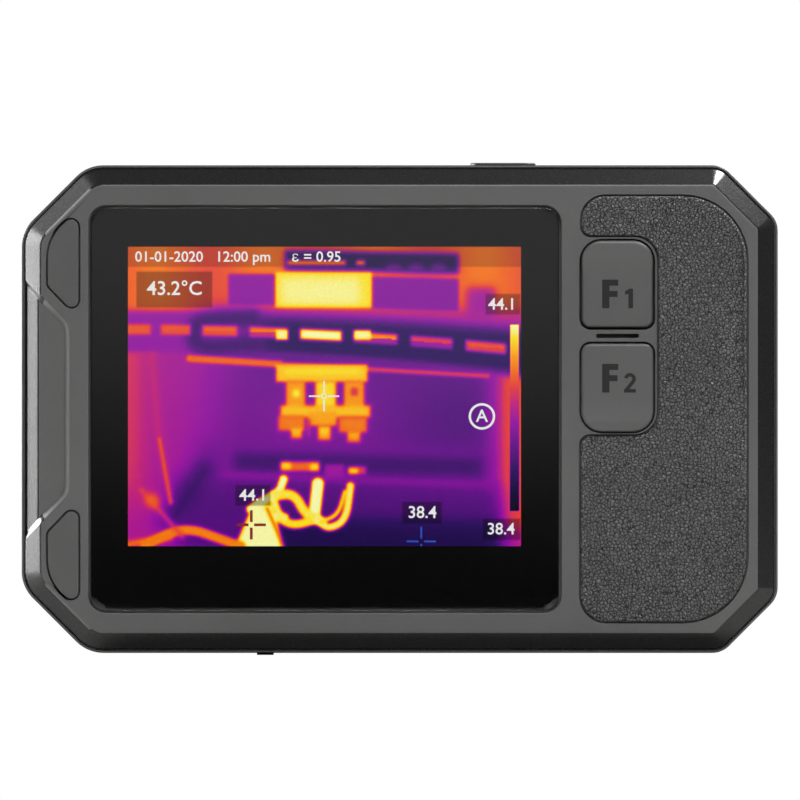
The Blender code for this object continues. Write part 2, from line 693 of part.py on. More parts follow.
def make_lens():
    x, z = LENS
    flange = 11.4
    barrel = turned("lens_barrel", [
        (4.0, 5.7), (7.3, 5.7), (7.3, 11.2), (5.8, 11.2), (5.8, 7.6), (4.0, 7.6),
    ], LENS, ring=True, finish=BLACK_ALUMINIUM)
    plate = slab(
        "barrel_flange", rectangle(x - flange, x + flange, z - flange, z + flange, 1.5), 5.8, 6.9
    )
    cut(plate, rod("flange_bore", 6.6, 5.0, 8.0, LENS))
    join(barrel, plate)
    cut(barrel, *[rod(f"flange_hole_{i}", 0.9, 5.0, 8.0, spot) for i, spot in enumerate(CORE_SCREWS, 1)])
    turned("germanium_rear_lens", [
        (0.0, 6.2), (2.0, 6.1), (3.7, 5.7), (3.7, 7.0), (2.0, 7.35), (0.0, 7.5),
    ], LENS, finish=GERMANIUM)
    turned("germanium_front_lens", [
        (0.0, 8.5), (3.0, 8.3), (5.5, 7.9), (5.5, 9.6), (3.8, 10.05), (2.0, 10.35), (0.0, 10.45),
    ], LENS, finish=GERMANIUM)
    turned("lens_retainer", [
        (4.9, 10.5), (5.5, 9.95), (5.5, 11.4), (4.9, 11.0),
    ], LENS, ring=True, finish=BLACK_ALUMINIUM)
    turned("lens_seal", [
        (7.6, 8.2), (8.1, 8.0), (8.7, 8.2), (8.7, 9.0), (7.6, 9.0),
    ], LENS, ring=True, finish=SOFT_BLACK)
    turned("lens_ring", [
        (7.7, 10.1), (9.9, 10.1), (9.9, 11.5), (9.4, BACK), (8.4, BACK), (7.7, 11.5),
    ], LENS, ring=True, finish=BLACK_ALUMINIUM)
    for i, spot in enumerate(CORE_SCREWS, 1):
        turned(f"core_screw_{i}", [
            (0.0, 1.8), (0.6, 1.8), (0.6, 7.2), (1.3, 7.2), (1.3, 7.9), (0.0, 7.9),
        ], spot, finish=STEEL)


def make_panel():
    panel = slab("lens_panel", panel_outline(), 10.1, 11.2, finish=SOFT_BLACK)
    cut(panel, rod("panel_lens_hole", 10.2, 9.0, 12.0, LENS))
    cut(panel, rod("panel_camera_hole", 3.0, 9.0, 12.0, CAMERA))
    cut(panel, rod("panel_torch_hole", 3.0, 9.0, 12.0, TORCH))
    turned("visible_camera", [
        (0.0, 4.4), (4.2, 4.4), (4.2, 7.4), (2.8, 7.4), (2.8, 9.6), (1.7, 9.6), (1.2, 9.1), (0.0, 8.9),
    ], CAMERA, finish=SOFT_BLACK)
    rod("camera_window", 2.7, 9.9, 10.9, CAMERA, finish=CLEAR)
    x, z = TORCH
    led = block("torch_led", (x - 1.7, 6.4, z - 1.7), (x + 1.7, 7.3, z + 1.7), 0.0, WHITE_SHEET)
    join(led, rod("torch_led_dome", 1.2, 7.1, 7.8, TORCH))
    turned("torch_lens", [
        (0.0, 8.6), (2.7, 8.6), (2.7, 10.7), (2.0, 11.1), (1.0, 11.3), (0.0, 11.35),
    ], TORCH, finish=CLEAR)


# ---------------------------------------------------------------- bottom edge

def make_port_cover():
    """A rubber flap that swings down round a line near its left end."""
    x, y = PORT
    outer = -HALF_HEIGHT
    inner = outer + COVER_THICKNESS
    outline = rectangle(COVER_LEFT, COVER_RIGHT, y - COVER_HALF_DEPTH, y + COVER_HALF_DEPTH, COVER_RADIUS)
    cover = slab("port_cover", outline, outer, inner, "Z", finish=SOFT_BLACK)
    join(cover, slab("cover_plug", slot_outline(PORT, 8.8, 3.0), inner - 0.3, -40.9, "Z"))
    lip = rectangle(-25.4, COVER_RIGHT, y - 2.2, y + 2.2, 0.3)
    join(cover, slab("cover_lip", lip, -BASE, outer + 0.4, "Z"))
    move_origin(cover, (COVER_HINGE_X, y, outer + 0.4))


def make_tripod_insert():
    turned("tripod_insert", [
        (3.18, -HALF_HEIGHT), (4.6, -HALF_HEIGHT), (4.6, -35.0), (3.18, -35.0),
    ], TRIPOD, "Z", ring=True, finish=BRASS)


make_bezel()
make_screen()
make_plugs_and_pad()
make_keys()
make_housing()
make_case_screws()
make_board()
make_usb_socket()
make_power_key()
make_core()
make_lens()
make_panel()
make_port_cover()
make_tripod_insert()
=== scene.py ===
# %% [markdown]
# # A pocket thermal camera
#
# The camera is a flat handheld box. A colour display sits behind glass on the front, and an
# infrared lens, a plain camera and a torch look out of the back. Everything outside is moulded
# plastic and rubber, so most of this lesson is about one question: how are flat plates with
# pockets, holes and softly rounded edges made so that light runs along every edge.
#
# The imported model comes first. It is the fixed frame: each new piece is laid where its solid is.

import json
import math

import bmesh
import bpy
import numpy as np
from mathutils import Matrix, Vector
from mathutils.geometry import delaunay_2d_cdt, tessellate_polygon


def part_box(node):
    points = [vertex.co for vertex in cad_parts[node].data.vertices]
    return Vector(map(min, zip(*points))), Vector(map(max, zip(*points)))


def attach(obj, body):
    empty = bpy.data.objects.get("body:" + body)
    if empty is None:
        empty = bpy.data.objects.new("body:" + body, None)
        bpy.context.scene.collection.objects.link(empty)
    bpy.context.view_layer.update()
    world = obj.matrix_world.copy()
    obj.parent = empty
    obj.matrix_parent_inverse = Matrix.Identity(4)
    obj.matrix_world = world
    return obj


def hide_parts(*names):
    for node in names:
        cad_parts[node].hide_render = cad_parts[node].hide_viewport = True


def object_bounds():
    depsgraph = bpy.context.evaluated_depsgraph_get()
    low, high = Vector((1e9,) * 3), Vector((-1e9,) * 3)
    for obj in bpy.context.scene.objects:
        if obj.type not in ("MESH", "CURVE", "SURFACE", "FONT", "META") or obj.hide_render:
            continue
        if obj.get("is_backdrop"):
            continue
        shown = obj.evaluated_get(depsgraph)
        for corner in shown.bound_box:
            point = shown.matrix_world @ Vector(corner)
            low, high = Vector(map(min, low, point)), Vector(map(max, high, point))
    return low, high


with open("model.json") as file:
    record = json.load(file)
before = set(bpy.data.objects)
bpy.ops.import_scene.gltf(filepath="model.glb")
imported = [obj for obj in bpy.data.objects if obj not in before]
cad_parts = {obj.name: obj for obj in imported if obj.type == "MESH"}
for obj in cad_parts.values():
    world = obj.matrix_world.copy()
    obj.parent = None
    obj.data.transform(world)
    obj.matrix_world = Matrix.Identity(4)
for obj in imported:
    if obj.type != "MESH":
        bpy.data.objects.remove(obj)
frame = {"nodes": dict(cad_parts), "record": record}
cad_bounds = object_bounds()

# %% [markdown]
# ## Working in millimetres from the middle of the case
#
# A maker's drawing is in millimetres and starts from the middle of the case. Blender works in
# metres and the case stands on the floor, so the one conversion happens when a mesh is made.

# %% Units and the middle of the case
MM = 0.001
case_low, case_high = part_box("rear_housing")
MIDDLE_UP = 0.5 * (case_low.z + case_high.z)


def node_box(node):
    """A node's lowest and highest corner in millimetres from the middle of the case."""
    shift = Vector((0.0, 0.0, MIDDLE_UP))
    return [np.array(corner - shift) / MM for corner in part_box(node)]


HALF_WIDTH = 0.5 * (case_high.x - case_low.x) / MM
HALF_HEIGHT = 0.5 * (case_high.z - case_low.z) / MM
print(f"case: {2 * HALF_WIDTH:.1f} wide, {2 * HALF_HEIGHT:.1f} high, middle at {MIDDLE_UP:.5f} m")

# %% [markdown]
# ## Outlines
#
# Nearly every piece here is a flat shape with round corners. One function draws them all: it
# takes the sharp corners and their radii, and can grow or shrink the shape evenly. Each corner
# always gets the same number of points, so two sizes of one outline match point for point and
# can be joined by a wall.

# %% Outline with round corners
ARC_POINTS = 10


def outline(corners, grow=0.0):
    """Straight sides joined by arcs, anticlockwise, as an (n, 2) array.

    A side's direction turns by an angle at each corner. The arc's middle lies one radius in
    from both sides, and its points are the first spoke turned through shares of that angle.
    """
    corners = np.asarray(corners, float)
    spots, radii = corners[:, :2], corners[:, 2]
    before = spots - np.roll(spots, 1, axis=0)
    before /= np.linalg.norm(before, axis=1, keepdims=True)
    after = np.roll(before, -1, axis=0)
    turn = np.arctan2(
        before[:, 0] * after[:, 1] - before[:, 1] * after[:, 0], (before * after).sum(axis=1)
    )
    out = np.column_stack([before[:, 1], -before[:, 0]])
    reach = np.tan(0.5 * turn)[:, None]
    inward = np.sign(turn)[:, None]
    moved = spots + out * grow + before * grow * reach
    radius = np.maximum(radii[:, None] + inward * grow, 0.03)
    middle = moved - before * radius * np.abs(reach) - out * radius * inward
    spoke = out * radius * inward
    angle = turn[:, None] * np.linspace(0.0, 1.0, ARC_POINTS)
    x = middle[:, :1] + np.cos(angle) * spoke[:, :1] - np.sin(angle) * spoke[:, 1:]
    y = middle[:, 1:] + np.sin(angle) * spoke[:, :1] + np.cos(angle) * spoke[:, 1:]
    return np.stack([x, y], axis=-1).reshape(-1, 2)


def rectangle(left, right, low, high, radius):
    return [(left, low, radius), (right, low, radius), (right, high, radius), (left, high, radius)]


def bar(centre, length, width):
    """A bar with round ends."""
    x, y = centre
    half, side = 0.5 * length, 0.5 * width
    return rectangle(x - half, x + half, y - side, y + side, side - 0.02)


def circle(centre, radius, count=64):
    """Points at even turns round a centre."""
    turns = np.arange(count) * math.tau / count
    return np.column_stack([centre[0] + radius * np.cos(turns), centre[1] + radius * np.sin(turns)])


# %% [markdown]
# ## Soft profiles
#
# A moulded edge is never sharp. A profile is a short chain of points seen from the side, and
# this function swaps each inner corner for a small curve, so that every edge catches the light.

# %% Round the corners of a profile
def soft(points, radius, steps=4):
    """Each inner corner becomes the curve that leaves its two sides at the given distance.

    The curve is the sum of the three points weighted by (1-t)^2, 2t(1-t) and t^2.
    """
    points = np.asarray(points, float)
    corner = points[1:-1]
    reach = np.broadcast_to(np.asarray(radius, float), (len(corner),))[:, None]
    to_last, to_next = points[:-2] - corner, points[2:] - corner
    last_length = np.linalg.norm(to_last, axis=1, keepdims=True)
    next_length = np.linalg.norm(to_next, axis=1, keepdims=True)
    start = corner + to_last * np.minimum(reach / last_length, 0.48)
    end = corner + to_next * np.minimum(reach / next_length, 0.48)
    t = np.linspace(0.0, 1.0, steps + 1)[None, :, None]
    curve = (1 - t) ** 2 * start[:, None] + 2 * t * (1 - t) * corner[:, None] + t**2 * end[:, None]
    return np.vstack([points[:1], curve.reshape(-1, 2), points[-1:]])


# %% [markdown]
# ## Shells
#
# A piece is gathered as rings of points. A wall joins one ring to the next, and a fill closes a
# flat region between a ring and the rings of its holes. Since neighbours share their points, the
# finished piece is one closed skin, like the real moulding.

# %% Gather rings, walls and fills
def stand(flat, depth, axis):
    """Lays a flat outline at a depth along Y, or at a height along Z."""
    depth = np.broadcast_to(depth, (len(flat),))
    order = (flat[:, 0], depth, flat[:, 1]) if axis == "Y" else (flat[:, 0], flat[:, 1], depth)
    return np.column_stack(order)


class Shell:
    """The points and faces of one piece, in millimetres from the middle of the case."""

    def __init__(self):
        self.points = np.zeros((0, 3))
        self.faces = []

    def add(self, points):
        first = len(self.points)
        self.points = np.vstack([self.points, points])
        return np.arange(first, len(self.points))

    def ring(self, flat, depth, axis="Y"):
        return self.add(stand(flat, depth, axis))

    def wall(self, rings, closed=True):
        """Four-sided faces between each ring and the next."""
        rings = np.array(rings)
        near, far = rings[:-1], rings[1:]
        quads = np.stack([near, np.roll(near, -1, 1), np.roll(far, -1, 1), far], axis=-1)
        if not closed:
            quads = quads[:, :-1]
        self.faces += quads.reshape(-1, 4).tolist()

    def cap(self, loop):
        self.faces.append([int(i) for i in loop])

    def fill(self, *loops):
        """Closes a flat region: the first loop is its edge and the others are its holes."""
        polygons = [[Vector(point) for point in self.points[loop]] for loop in loops]
        numbers = np.concatenate(loops)
        triangles = np.array(tessellate_polygon(polygons))
        self.faces += numbers[triangles].tolist()

    def carry(self, corners, profile, axis="Y"):
        """Carries a profile of (grow, depth) rows round an outline and returns its rings."""
        rings = [self.ring(outline(corners, grow), depth, axis) for grow, depth in profile]
        self.wall(rings)
        return rings

    def turn(self, centre, profile, axis="Y", count=64):
        """Carries a profile of (radius, depth) rows round a circle."""
        rings = [self.ring(circle(centre, r, count), depth, axis) for r, depth in profile]
        self.wall(rings)
        return rings


# %% [markdown]
# ## From shell to piece
#
# The points become metres, the faces are turned outwards, and only edges sharper than a soft
# corner stay crisp. Weighted normals let the broad flat faces rule the shading, so a narrow
# rounded edge shines without bending the light on the plate beside it.

# %% Make the object
CRISP = math.radians(38.0)


def make_mesh(name, shell):
    mesh = bpy.data.meshes.new(name)
    points = shell.points * MM + np.array([0.0, 0.0, MIDDLE_UP])
    mesh.from_pydata(points.tolist(), [], shell.faces)
    bm = bmesh.new()
    bm.from_mesh(mesh)
    bmesh.ops.remove_doubles(bm, verts=bm.verts, dist=1e-7)
    bmesh.ops.recalc_face_normals(bm, faces=bm.faces)
    bm.to_mesh(mesh)
    bm.free()
    return mesh


def add_object(name, data):
    """Puts a mesh, a lamp, a camera or a text into the scene."""
    obj = bpy.data.objects.new(name, data)
    bpy.context.scene.collection.objects.link(obj)
    return obj


def finish_mesh(mesh, materials):
    mesh.shade_smooth()
    mesh.set_sharp_from_angle(angle=CRISP)
    for material in materials:
        mesh.materials.append(material)


def place(name, mesh, materials, body="case", slot=None, replaces=()):
    """Puts a finished mesh into the scene and says what it rides on and stands for."""
    finish_mesh(mesh, materials)
    obj = add_object(name, mesh)
    normals = obj.modifiers.new("even_shading", "WEIGHTED_NORMAL")
    normals.keep_sharp = True
    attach(obj, body)
    if replaces:
        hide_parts(*replaces)
    low, high = np.array(obj.bound_box)[[0, 6]]
    size = " x ".join(f"{side:.1f}" for side in (high - low) / MM)
    print(f"{name}: {len(mesh.polygons)} faces, {size} mm")
    return obj


def make_piece(name, shell, *materials, **words):
    return place(name, make_mesh(name, shell), materials, **words)


# %% [markdown]
# ## Materials from nodes
#
# Colours are written as the sRGB hex values a designer would quote, and one function turns them
# into the linear values that the renderer works with. Another small function adds a node with
# its settings, its links and the place its result goes to, and it is all that any material
# below needs. Many finishes are one noise that changes the tone, the gloss and the relief
# together, as dust, wear and tool marks do, so they share one function.

# %% Colour and node helpers
def colour(code):
    """sRGB hex to linear: ((s + 0.055) / 1.055) to the power 2.4, or s / 12.92 when dark."""
    parts = np.array([int(code[i : i + 2], 16) for i in (1, 3, 5)]) / 255.0
    linear = np.where(parts <= 0.04045, parts / 12.92, ((parts + 0.055) / 1.055) ** 2.4)
    return (*linear.tolist(), 1.0)


def add_node(tree, kind, links=(), inputs=None, stops=(), into=None, **settings):
    """Adds a node with its settings and the values of its inputs.

    Links are (socket, source node, its output), stops are the (place, hex) rows of a colour
    ramp, and into is (output, next node, its socket).
    """
    node = tree.nodes.new("ShaderNode" + kind)
    for key, value in settings.items():
        setattr(node, key, value)
    for key, value in (inputs or {}).items():
        node.inputs[key].default_value = value
    for socket, source, output in links:
        tree.links.new(source.outputs[output], node.inputs[socket])
    if stops:
        elements = node.color_ramp.elements
        elements[0].position, elements[1].position = stops[0][0], stops[-1][0]
        for spot, _ in stops[1:-1]:
            elements.new(spot)
        for element, (_, code) in zip(elements, stops):
            element.color = colour(code)
    if into:
        output, target, socket = into
        tree.links.new(node.outputs[output], target.inputs[socket])
    return node


def new_material(name, code, roughness, **inputs):
    """A material with one shader; extra inputs go by the shader's own socket names."""
    material = bpy.data.materials.new(name)
    material.use_nodes = True
    tree = material.node_tree
    shader = tree.nodes["Principled BSDF"]
    shader.inputs["Base Color"].default_value = colour(code)
    shader.inputs["Roughness"].default_value = roughness
    for key, value in inputs.items():
        shader.inputs[key.replace("_", " ")].default_value = value
    material.diffuse_color = colour(code)
    return material, tree, shader


def one_noise(
    name, code, roughness, scale, detail, tones=(), rub=(), bump=(), stretch=None, ends=(0.3, 0.7), **inputs
):
    """A material whose one noise sets its tone, its gloss and its relief, where they are given.

    Tones are the dark and the light hex at the noise's two ends, rub is the least and the
    greatest roughness, and bump is the relief's strength and its depth in mm.
    """
    material, tree, shader = new_material(name, code, roughness, **inputs)
    spot = ("Vector", add_node(tree, "TexCoord"), "Object")
    if stretch:
        spot = ("Vector", add_node(tree, "Mapping", [spot], {"Scale": stretch}), "Vector")
    noise = add_node(tree, "TexNoise", [spot], {"Scale": scale, "Detail": detail})
    if tones:
        stops = list(zip(ends, tones))
        add_node(tree, "ValToRGB", [("Fac", noise, "Fac")], stops=stops, into=("Color", shader, "Base Color"))
    if rub:
        limits = {"To Min": rub[0], "To Max": rub[1]}
        add_node(tree, "MapRange", [("Value", noise, "Fac")], limits, into=("Result", shader, "Roughness"))
    if bump:
        relief = {"Strength": bump[0], "Distance": bump[1] * MM}
        add_node(tree, "Bump", [("Height", noise, "Fac")], relief, into=("Normal", shader, "Normal"))
    return material


# %% [markdown]
# ## Moulded plastic
#
# The case is a PC and ABS blend, moulded in a tool whose faces were spark eroded. That leaves
# a fine even grain of about 0.15 mm, drawn here at 0.3 mm so that it shows. The grain breaks up
# the highlight and changes the gloss from point to point, and a slow change in tone over a few
# centimetres keeps the broad faces from looking painted.

# %% Moulded plastic
GRAIN = 0.3


def moulded_plastic(name, code, light, dark, roughness, depth=0.012):
    """Grained plastic between two tones: light and dark hex round the base colour."""
    material, tree, shader = new_material(name, code, roughness)
    spot = ("Vector", add_node(tree, "TexCoord"), "Object")
    slow = add_node(tree, "TexNoise", [spot], {"Scale": 28.0, "Detail": 3.0, "Roughness": 0.6})
    fine = add_node(tree, "TexNoise", [spot], {"Scale": 1.0 / (GRAIN * MM), "Detail": 2.0})
    both = add_node(
        tree, "Mix", [("A", slow, "Fac"), ("B", fine, "Fac")], {"Factor": 0.35}, data_type="FLOAT"
    )
    add_node(
        tree, "ValToRGB", [("Fac", both, "Result")], stops=[(0.3, dark), (0.7, light)],
        into=("Color", shader, "Base Color"),
    )
    add_node(
        tree, "MapRange", [("Value", fine, "Fac")], {"To Min": roughness - 0.07, "To Max": roughness + 0.09},
        into=("Result", shader, "Roughness"),
    )
    add_node(
        tree, "Bump", [("Height", fine, "Fac")], {"Strength": 0.6, "Distance": depth * MM},
        into=("Normal", shader, "Normal"),
    )
    return material


face_plastic = moulded_plastic("spark_eroded_case_plastic", "#5A5A5A", "#606060", "#545454", 0.56)
# Painted shade: the edge is the face's plastic, darkened to near black so the leaning edges look shaded; only
# its lower roughness is polish.
edge_plastic = moulded_plastic("polished_edge_plastic_painted_shade", "#191919", "#1C1C1C", "#161616", 0.24, 0.004)
shell_plastic = moulded_plastic("rear_shell_plastic", "#3C3C3C", "#424242", "#373737", 0.5)
print("plastics:", face_plastic.name, edge_plastic.name, shell_plastic.name)

# %% [markdown]
# ## The case outline and the bezel
#
# Seen from the front the case is a rectangle with its corners cut off. The bezel is its front
# cover. Its edge profile runs from the parting line over a narrow ledge and a fine groove to a
# broad 45 degree edge, and ends in the flat face. On the left that face drops into a shallow
# hollow for a thumb, so two profiles are needed, and the wall blends from one to the other.

# %% Case outline and front depths
LEFT_LEG, LEFT_BLEND = 11.75, 6.9
RIGHT_LEG, RIGHT_BLEND = 9.9, 4.3
CASE = [
    (-HALF_WIDTH + LEFT_LEG, -HALF_HEIGHT, LEFT_BLEND),
    (HALF_WIDTH - RIGHT_LEG, -HALF_HEIGHT, RIGHT_BLEND),
    (HALF_WIDTH, -HALF_HEIGHT + RIGHT_LEG, RIGHT_BLEND),
    (HALF_WIDTH, HALF_HEIGHT - RIGHT_LEG, RIGHT_BLEND),
    (HALF_WIDTH - RIGHT_LEG, HALF_HEIGHT, RIGHT_BLEND),
    (-HALF_WIDTH + LEFT_LEG, HALF_HEIGHT, LEFT_BLEND),
    (-HALF_WIDTH, HALF_HEIGHT - LEFT_LEG, LEFT_BLEND),
    (-HALF_WIDTH, -HALF_HEIGHT + LEFT_LEG, LEFT_BLEND),
]
LEFT_SIDE_START = 7 * ARC_POINTS
FACE = node_box("screen_bezel")[0][1]
LEDGE = -8.7
BEZEL_BACK = -8.1
PLATE_BACK = -8.9
TONGUE_BACK = node_box("screen_bezel")[1][1]
GAP = 0.3
print(f"bezel face at {FACE:.2f}, tongue to {TONGUE_BACK:.2f}")

# %% Edge profiles as (distance in from the outline, depth)
EDGE_FOOT, EDGE_TOP = 0.72, 3.5
HOLLOW_DEPTH, EDGE_DROP = 0.8, 0.4
HOLLOW_FACE = FACE + HOLLOW_DEPTH


def edge_profile(foot, top, face):
    """The bezel's edge from its back to the start of its face."""
    points = [
        (4.2, PLATE_BACK),
        (4.2, TONGUE_BACK),
        (2.7, TONGUE_BACK),
        (2.7, BEZEL_BACK),
        (0.0, BEZEL_BACK),
        (0.0, LEDGE),
        (0.42, LEDGE),
        (0.5, LEDGE + 0.4),
        (0.62, LEDGE + 0.4),
        (foot, LEDGE - 0.1),
        (top, face),
        (top + 0.6, face),
    ]
    return soft(points, [0.02, 0.1, 0.1, 0.08, 0.22, 0.1, 0.02, 0.04, 0.12, 0.5], 5)


plain_edge = edge_profile(EDGE_FOOT, EDGE_TOP, FACE)
hollow_edge = edge_profile(EDGE_FOOT + EDGE_DROP, EDGE_TOP - HOLLOW_DEPTH + EDGE_DROP, HOLLOW_FACE)
print(len(plain_edge), "rows in each edge profile")

# %% [markdown]
# ## The thumb hollow
#
# The hollow's side is a slope about a millimetre wide. It crosses the 45 degree edge at a slant,
# runs on across the face, turns down, and mirrors itself at the bottom. One number, the share of
# the way down the slope, blends the outer line into the inner line, and an S-shaped function of
# it blends the heights, so the top and the foot of the slope are both rounded.

# %% Lines that the hollow's slope runs between
SLOPE = np.linspace(0.0, 1.0, 11)
SINK = 0.5 * (3 * SLOPE**2 - 2 * SLOPE**3) + 0.5 * SLOPE
OUTER_FOOT, OUTER_SLANT = (0.7, 23.2), 1.036
INNER_FOOT, INNER_SLANT = (1.1, 21.6), 1.15
SLOPE_CORNER, SLOPE_WIDTH = (-58.7, 14.9), (1.1, 0.23)
SLOPE_BEND = 1.3


def crossing_heights(inset, hollow_inset):
    """Where the slope's outer and inner lines cross the edge, for one row of the profile."""
    outer = OUTER_FOOT[1] - (inset - OUTER_FOOT[0]) * OUTER_SLANT
    inner = INNER_FOOT[1] - (hollow_inset - INNER_FOOT[0]) * INNER_SLANT
    return outer + (inner - outer) * SLOPE


def bezel_ring(shell, row, hollow_row):
    """One ring of the bezel's edge, with the hollow's points set into the left side."""
    (inset, depth), (hollow_inset, hollow_depth) = row, hollow_row
    flat = outline(CASE, -inset)
    height = crossing_heights(inset, hollow_inset)
    across = -HALF_WIDTH + inset + (hollow_inset - inset) * SINK
    sunk = depth + (hollow_depth - depth) * SINK
    upper = np.column_stack([across, sunk, height])
    lower = upper[::-1] * (1.0, 1.0, -1.0)
    plain = stand(flat, depth, "Y")
    points = [plain[:LEFT_SIDE_START], upper, lower, plain[LEFT_SIDE_START:]]
    return shell.add(np.concatenate(points))


def hollow_slope(shell, last_ring):
    """The slope on the face: 11 lines, from the face's rim of the hollow to its floor."""
    first = LEFT_SIDE_START
    count = len(SLOPE)
    lines = []
    for i, (share, sink) in enumerate(zip(SLOPE, SINK)):
        start, end = last_ring[first + i], last_ring[first + 2 * count - 1 - i]
        corner = np.array(SLOPE_CORNER) - share * np.array(SLOPE_WIDTH)
        ends = shell.points[[start, end]][:, [0, 2]]
        path = soft([ends[0], corner, corner * (1.0, -1.0), ends[1]], SLOPE_BEND, 6)
        depth = FACE + HOLLOW_DEPTH * sink
        inside = shell.ring(path[1:-1], depth)
        lines.append(np.concatenate([[start], inside, [end]]))
    shell.wall(lines, closed=False)
    return lines


# %% [markdown]
# ## Pockets and openings
#
# Every opening in the face starts with a small rounded lip. The glass and the rubber pad lie in
# shallow pockets, and the keys come through openings 0.3 mm larger than themselves.

# %% Outlines of what sits in the face
glass_low, glass_high = node_box("touch_glass")
GLASS_EDGE = 0.45
GLASS_LEFT, GLASS_RIGHT, GLASS_LOW, GLASS_HIGH = glass_low[0], glass_high[0], glass_low[2], glass_high[2]
GLASS = rectangle(
    GLASS_LEFT - GLASS_EDGE, GLASS_RIGHT + GLASS_EDGE, GLASS_LOW - GLASS_EDGE, GLASS_HIGH + GLASS_EDGE, 3.1
)
panel_low, panel_high = node_box("lcd_panel")
WINDOW = rectangle(panel_low[0], panel_high[0], panel_low[2], panel_high[2], 0.6)
KEY_LEFT, KEY_RIGHT = 32.3, 45.2
LARGE, SMALL = 3.7, 1.7
F1 = [
    (KEY_LEFT, 14.4, SMALL),
    (KEY_RIGHT, 14.4, SMALL),
    (KEY_RIGHT, 30.0, LARGE),
    (KEY_LEFT, 30.0, LARGE),
]
F2 = [
    (KEY_LEFT, -4.0, LARGE),
    (KEY_RIGHT, -4.0, LARGE),
    (KEY_RIGHT, 11.7, SMALL),
    (KEY_LEFT, 11.7, SMALL),
]
SLIT = bar((38.8, 13.03), 7.6, 0.75)
PAD = [
    (32.25, -37.85, 4.6),
    (61.8, -37.85, 11.4),
    (61.8, 37.9, 11.4),
    (32.4, 37.9, 4.2),
    (32.4, 30.9, 1.7),
    (46.1, 30.9, 4.3),
    (46.1, -4.8, 4.4),
    (32.25, -4.8, 1.6),
]
UPPER_PLUG = [
    (-57.15, 16.26, 1.28),
    (-57.15, 35.17, 1.35),
    (-62.66, 30.85, 8.5),
    (-62.66, 22.04, 0.8),
]
LOWER_PLUG = [(x, -z, radius) for x, z, radius in reversed(UPPER_PLUG)]
CASE_SCREWS = [(-59.9, 25.9), (-59.9, -25.9), (57.0, 27.0), (57.0, -27.0)]
BRACKET_SCREWS = [(-53.8, 34.3), (27.2, 34.3), (-53.8, -34.3), (27.2, -34.3)]


def pocket_profile(clearance, floor, lip=0.1):
    """From the face over a lip and down a wall, ending just inside the pocket's floor."""
    points = [
        (clearance + lip + 0.02, FACE),
        (clearance, FACE),
        (clearance, floor),
        (clearance - 0.3, floor),
    ]
    return soft(points, [lip, 0.08], 4)


# %% Build the bezel
GLASS_FLOOR, PAD_FLOOR, PLUG_FLOOR = -9.9, -10.5, -10.2
WINDOW_EDGE = 0.4


def make_bezel():
    shell = Shell()
    edge = [bezel_ring(shell, row, hollow_row) for row, hollow_row in zip(plain_edge, hollow_edge)]
    shell.wall(edge)
    lines = hollow_slope(shell, edge[-1])
    count = len(SLOPE)
    before = edge[-1][: LEFT_SIDE_START + 1]
    after = edge[-1][LEFT_SIDE_START + 2 * count - 1 :]
    face_edge = np.concatenate([before, lines[0][1:-1], after])
    shell.fill(lines[-1])

    glass = shell.carry(GLASS, pocket_profile(0.0, GLASS_FLOOR, 0.25))
    window = shell.carry(WINDOW, [(WINDOW_EDGE, GLASS_FLOOR), (WINDOW_EDGE, PLATE_BACK)])
    shell.fill(glass[-1], window[0])
    pad = shell.carry(PAD, pocket_profile(GAP, PAD_FLOOR))
    plugs = [shell.carry(plug, pocket_profile(GAP, PLUG_FLOOR)) for plug in (UPPER_PLUG, LOWER_PLUG)]
    through = soft([(GAP + 0.12, FACE), (GAP, FACE), (GAP, PLATE_BACK)], 0.1, 4)
    keys = [shell.carry(key, through) for key in (F1, F2)]
    slit = shell.carry(SLIT, soft([(0.12, FACE), (0.0, FACE), (0.0, PLATE_BACK)], 0.1, 4))

    screw_tops, back_holes = [], [window[-1], keys[0][-1], keys[1][-1], slit[-1]]
    for i, centre in enumerate(CASE_SCREWS):
        floor = PLUG_FLOOR if i < 2 else PAD_FLOOR
        rows = [(2.4, floor), (2.4, -8.0), (1.3, -8.0), (1.3, TONGUE_BACK)]
        rows += [(3.4, TONGUE_BACK), (3.4, PLATE_BACK)]
        rings = shell.turn(centre, rows, count=32)
        screw_tops.append(rings[0])
        back_holes.append(rings[-1])
    for centre in BRACKET_SCREWS:
        rings = shell.turn(centre, [(1.0, -9.2), (1.0, -6.0), (1.6, -6.0), (1.6, PLATE_BACK)], count=24)
        shell.cap(rings[0])
        back_holes.append(rings[-1])
    shell.fill(plugs[0][-1], screw_tops[0])
    shell.fill(plugs[1][-1], screw_tops[1])
    shell.fill(pad[-1], screw_tops[2], screw_tops[3])
    shell.fill(face_edge, glass[0], pad[0], plugs[0][0], plugs[1][0], keys[0][0], keys[1][0], slit[0])
    shell.fill(edge[0], *back_holes)
    return shell


bezel = make_piece(
    "bezel_front", make_bezel(), face_plastic, edge_plastic,
    slot="bezel_plastic", replaces=["screen_bezel"],
)

# %% [markdown]
# The tool's broad 45 degree edge is polished, while the face is grained. The edge is the
# face's own plastic, and its nearly black colour is painted shade for the dark edges. One
# mesh carries both finishes: each face that leans away from the front takes the second one.

# %% Give the leaning faces the polished finish with its painted shade
FLAT_FRONT = 0.94
EDGE_BAND, CORNER_BAND = 4.2, 6.0


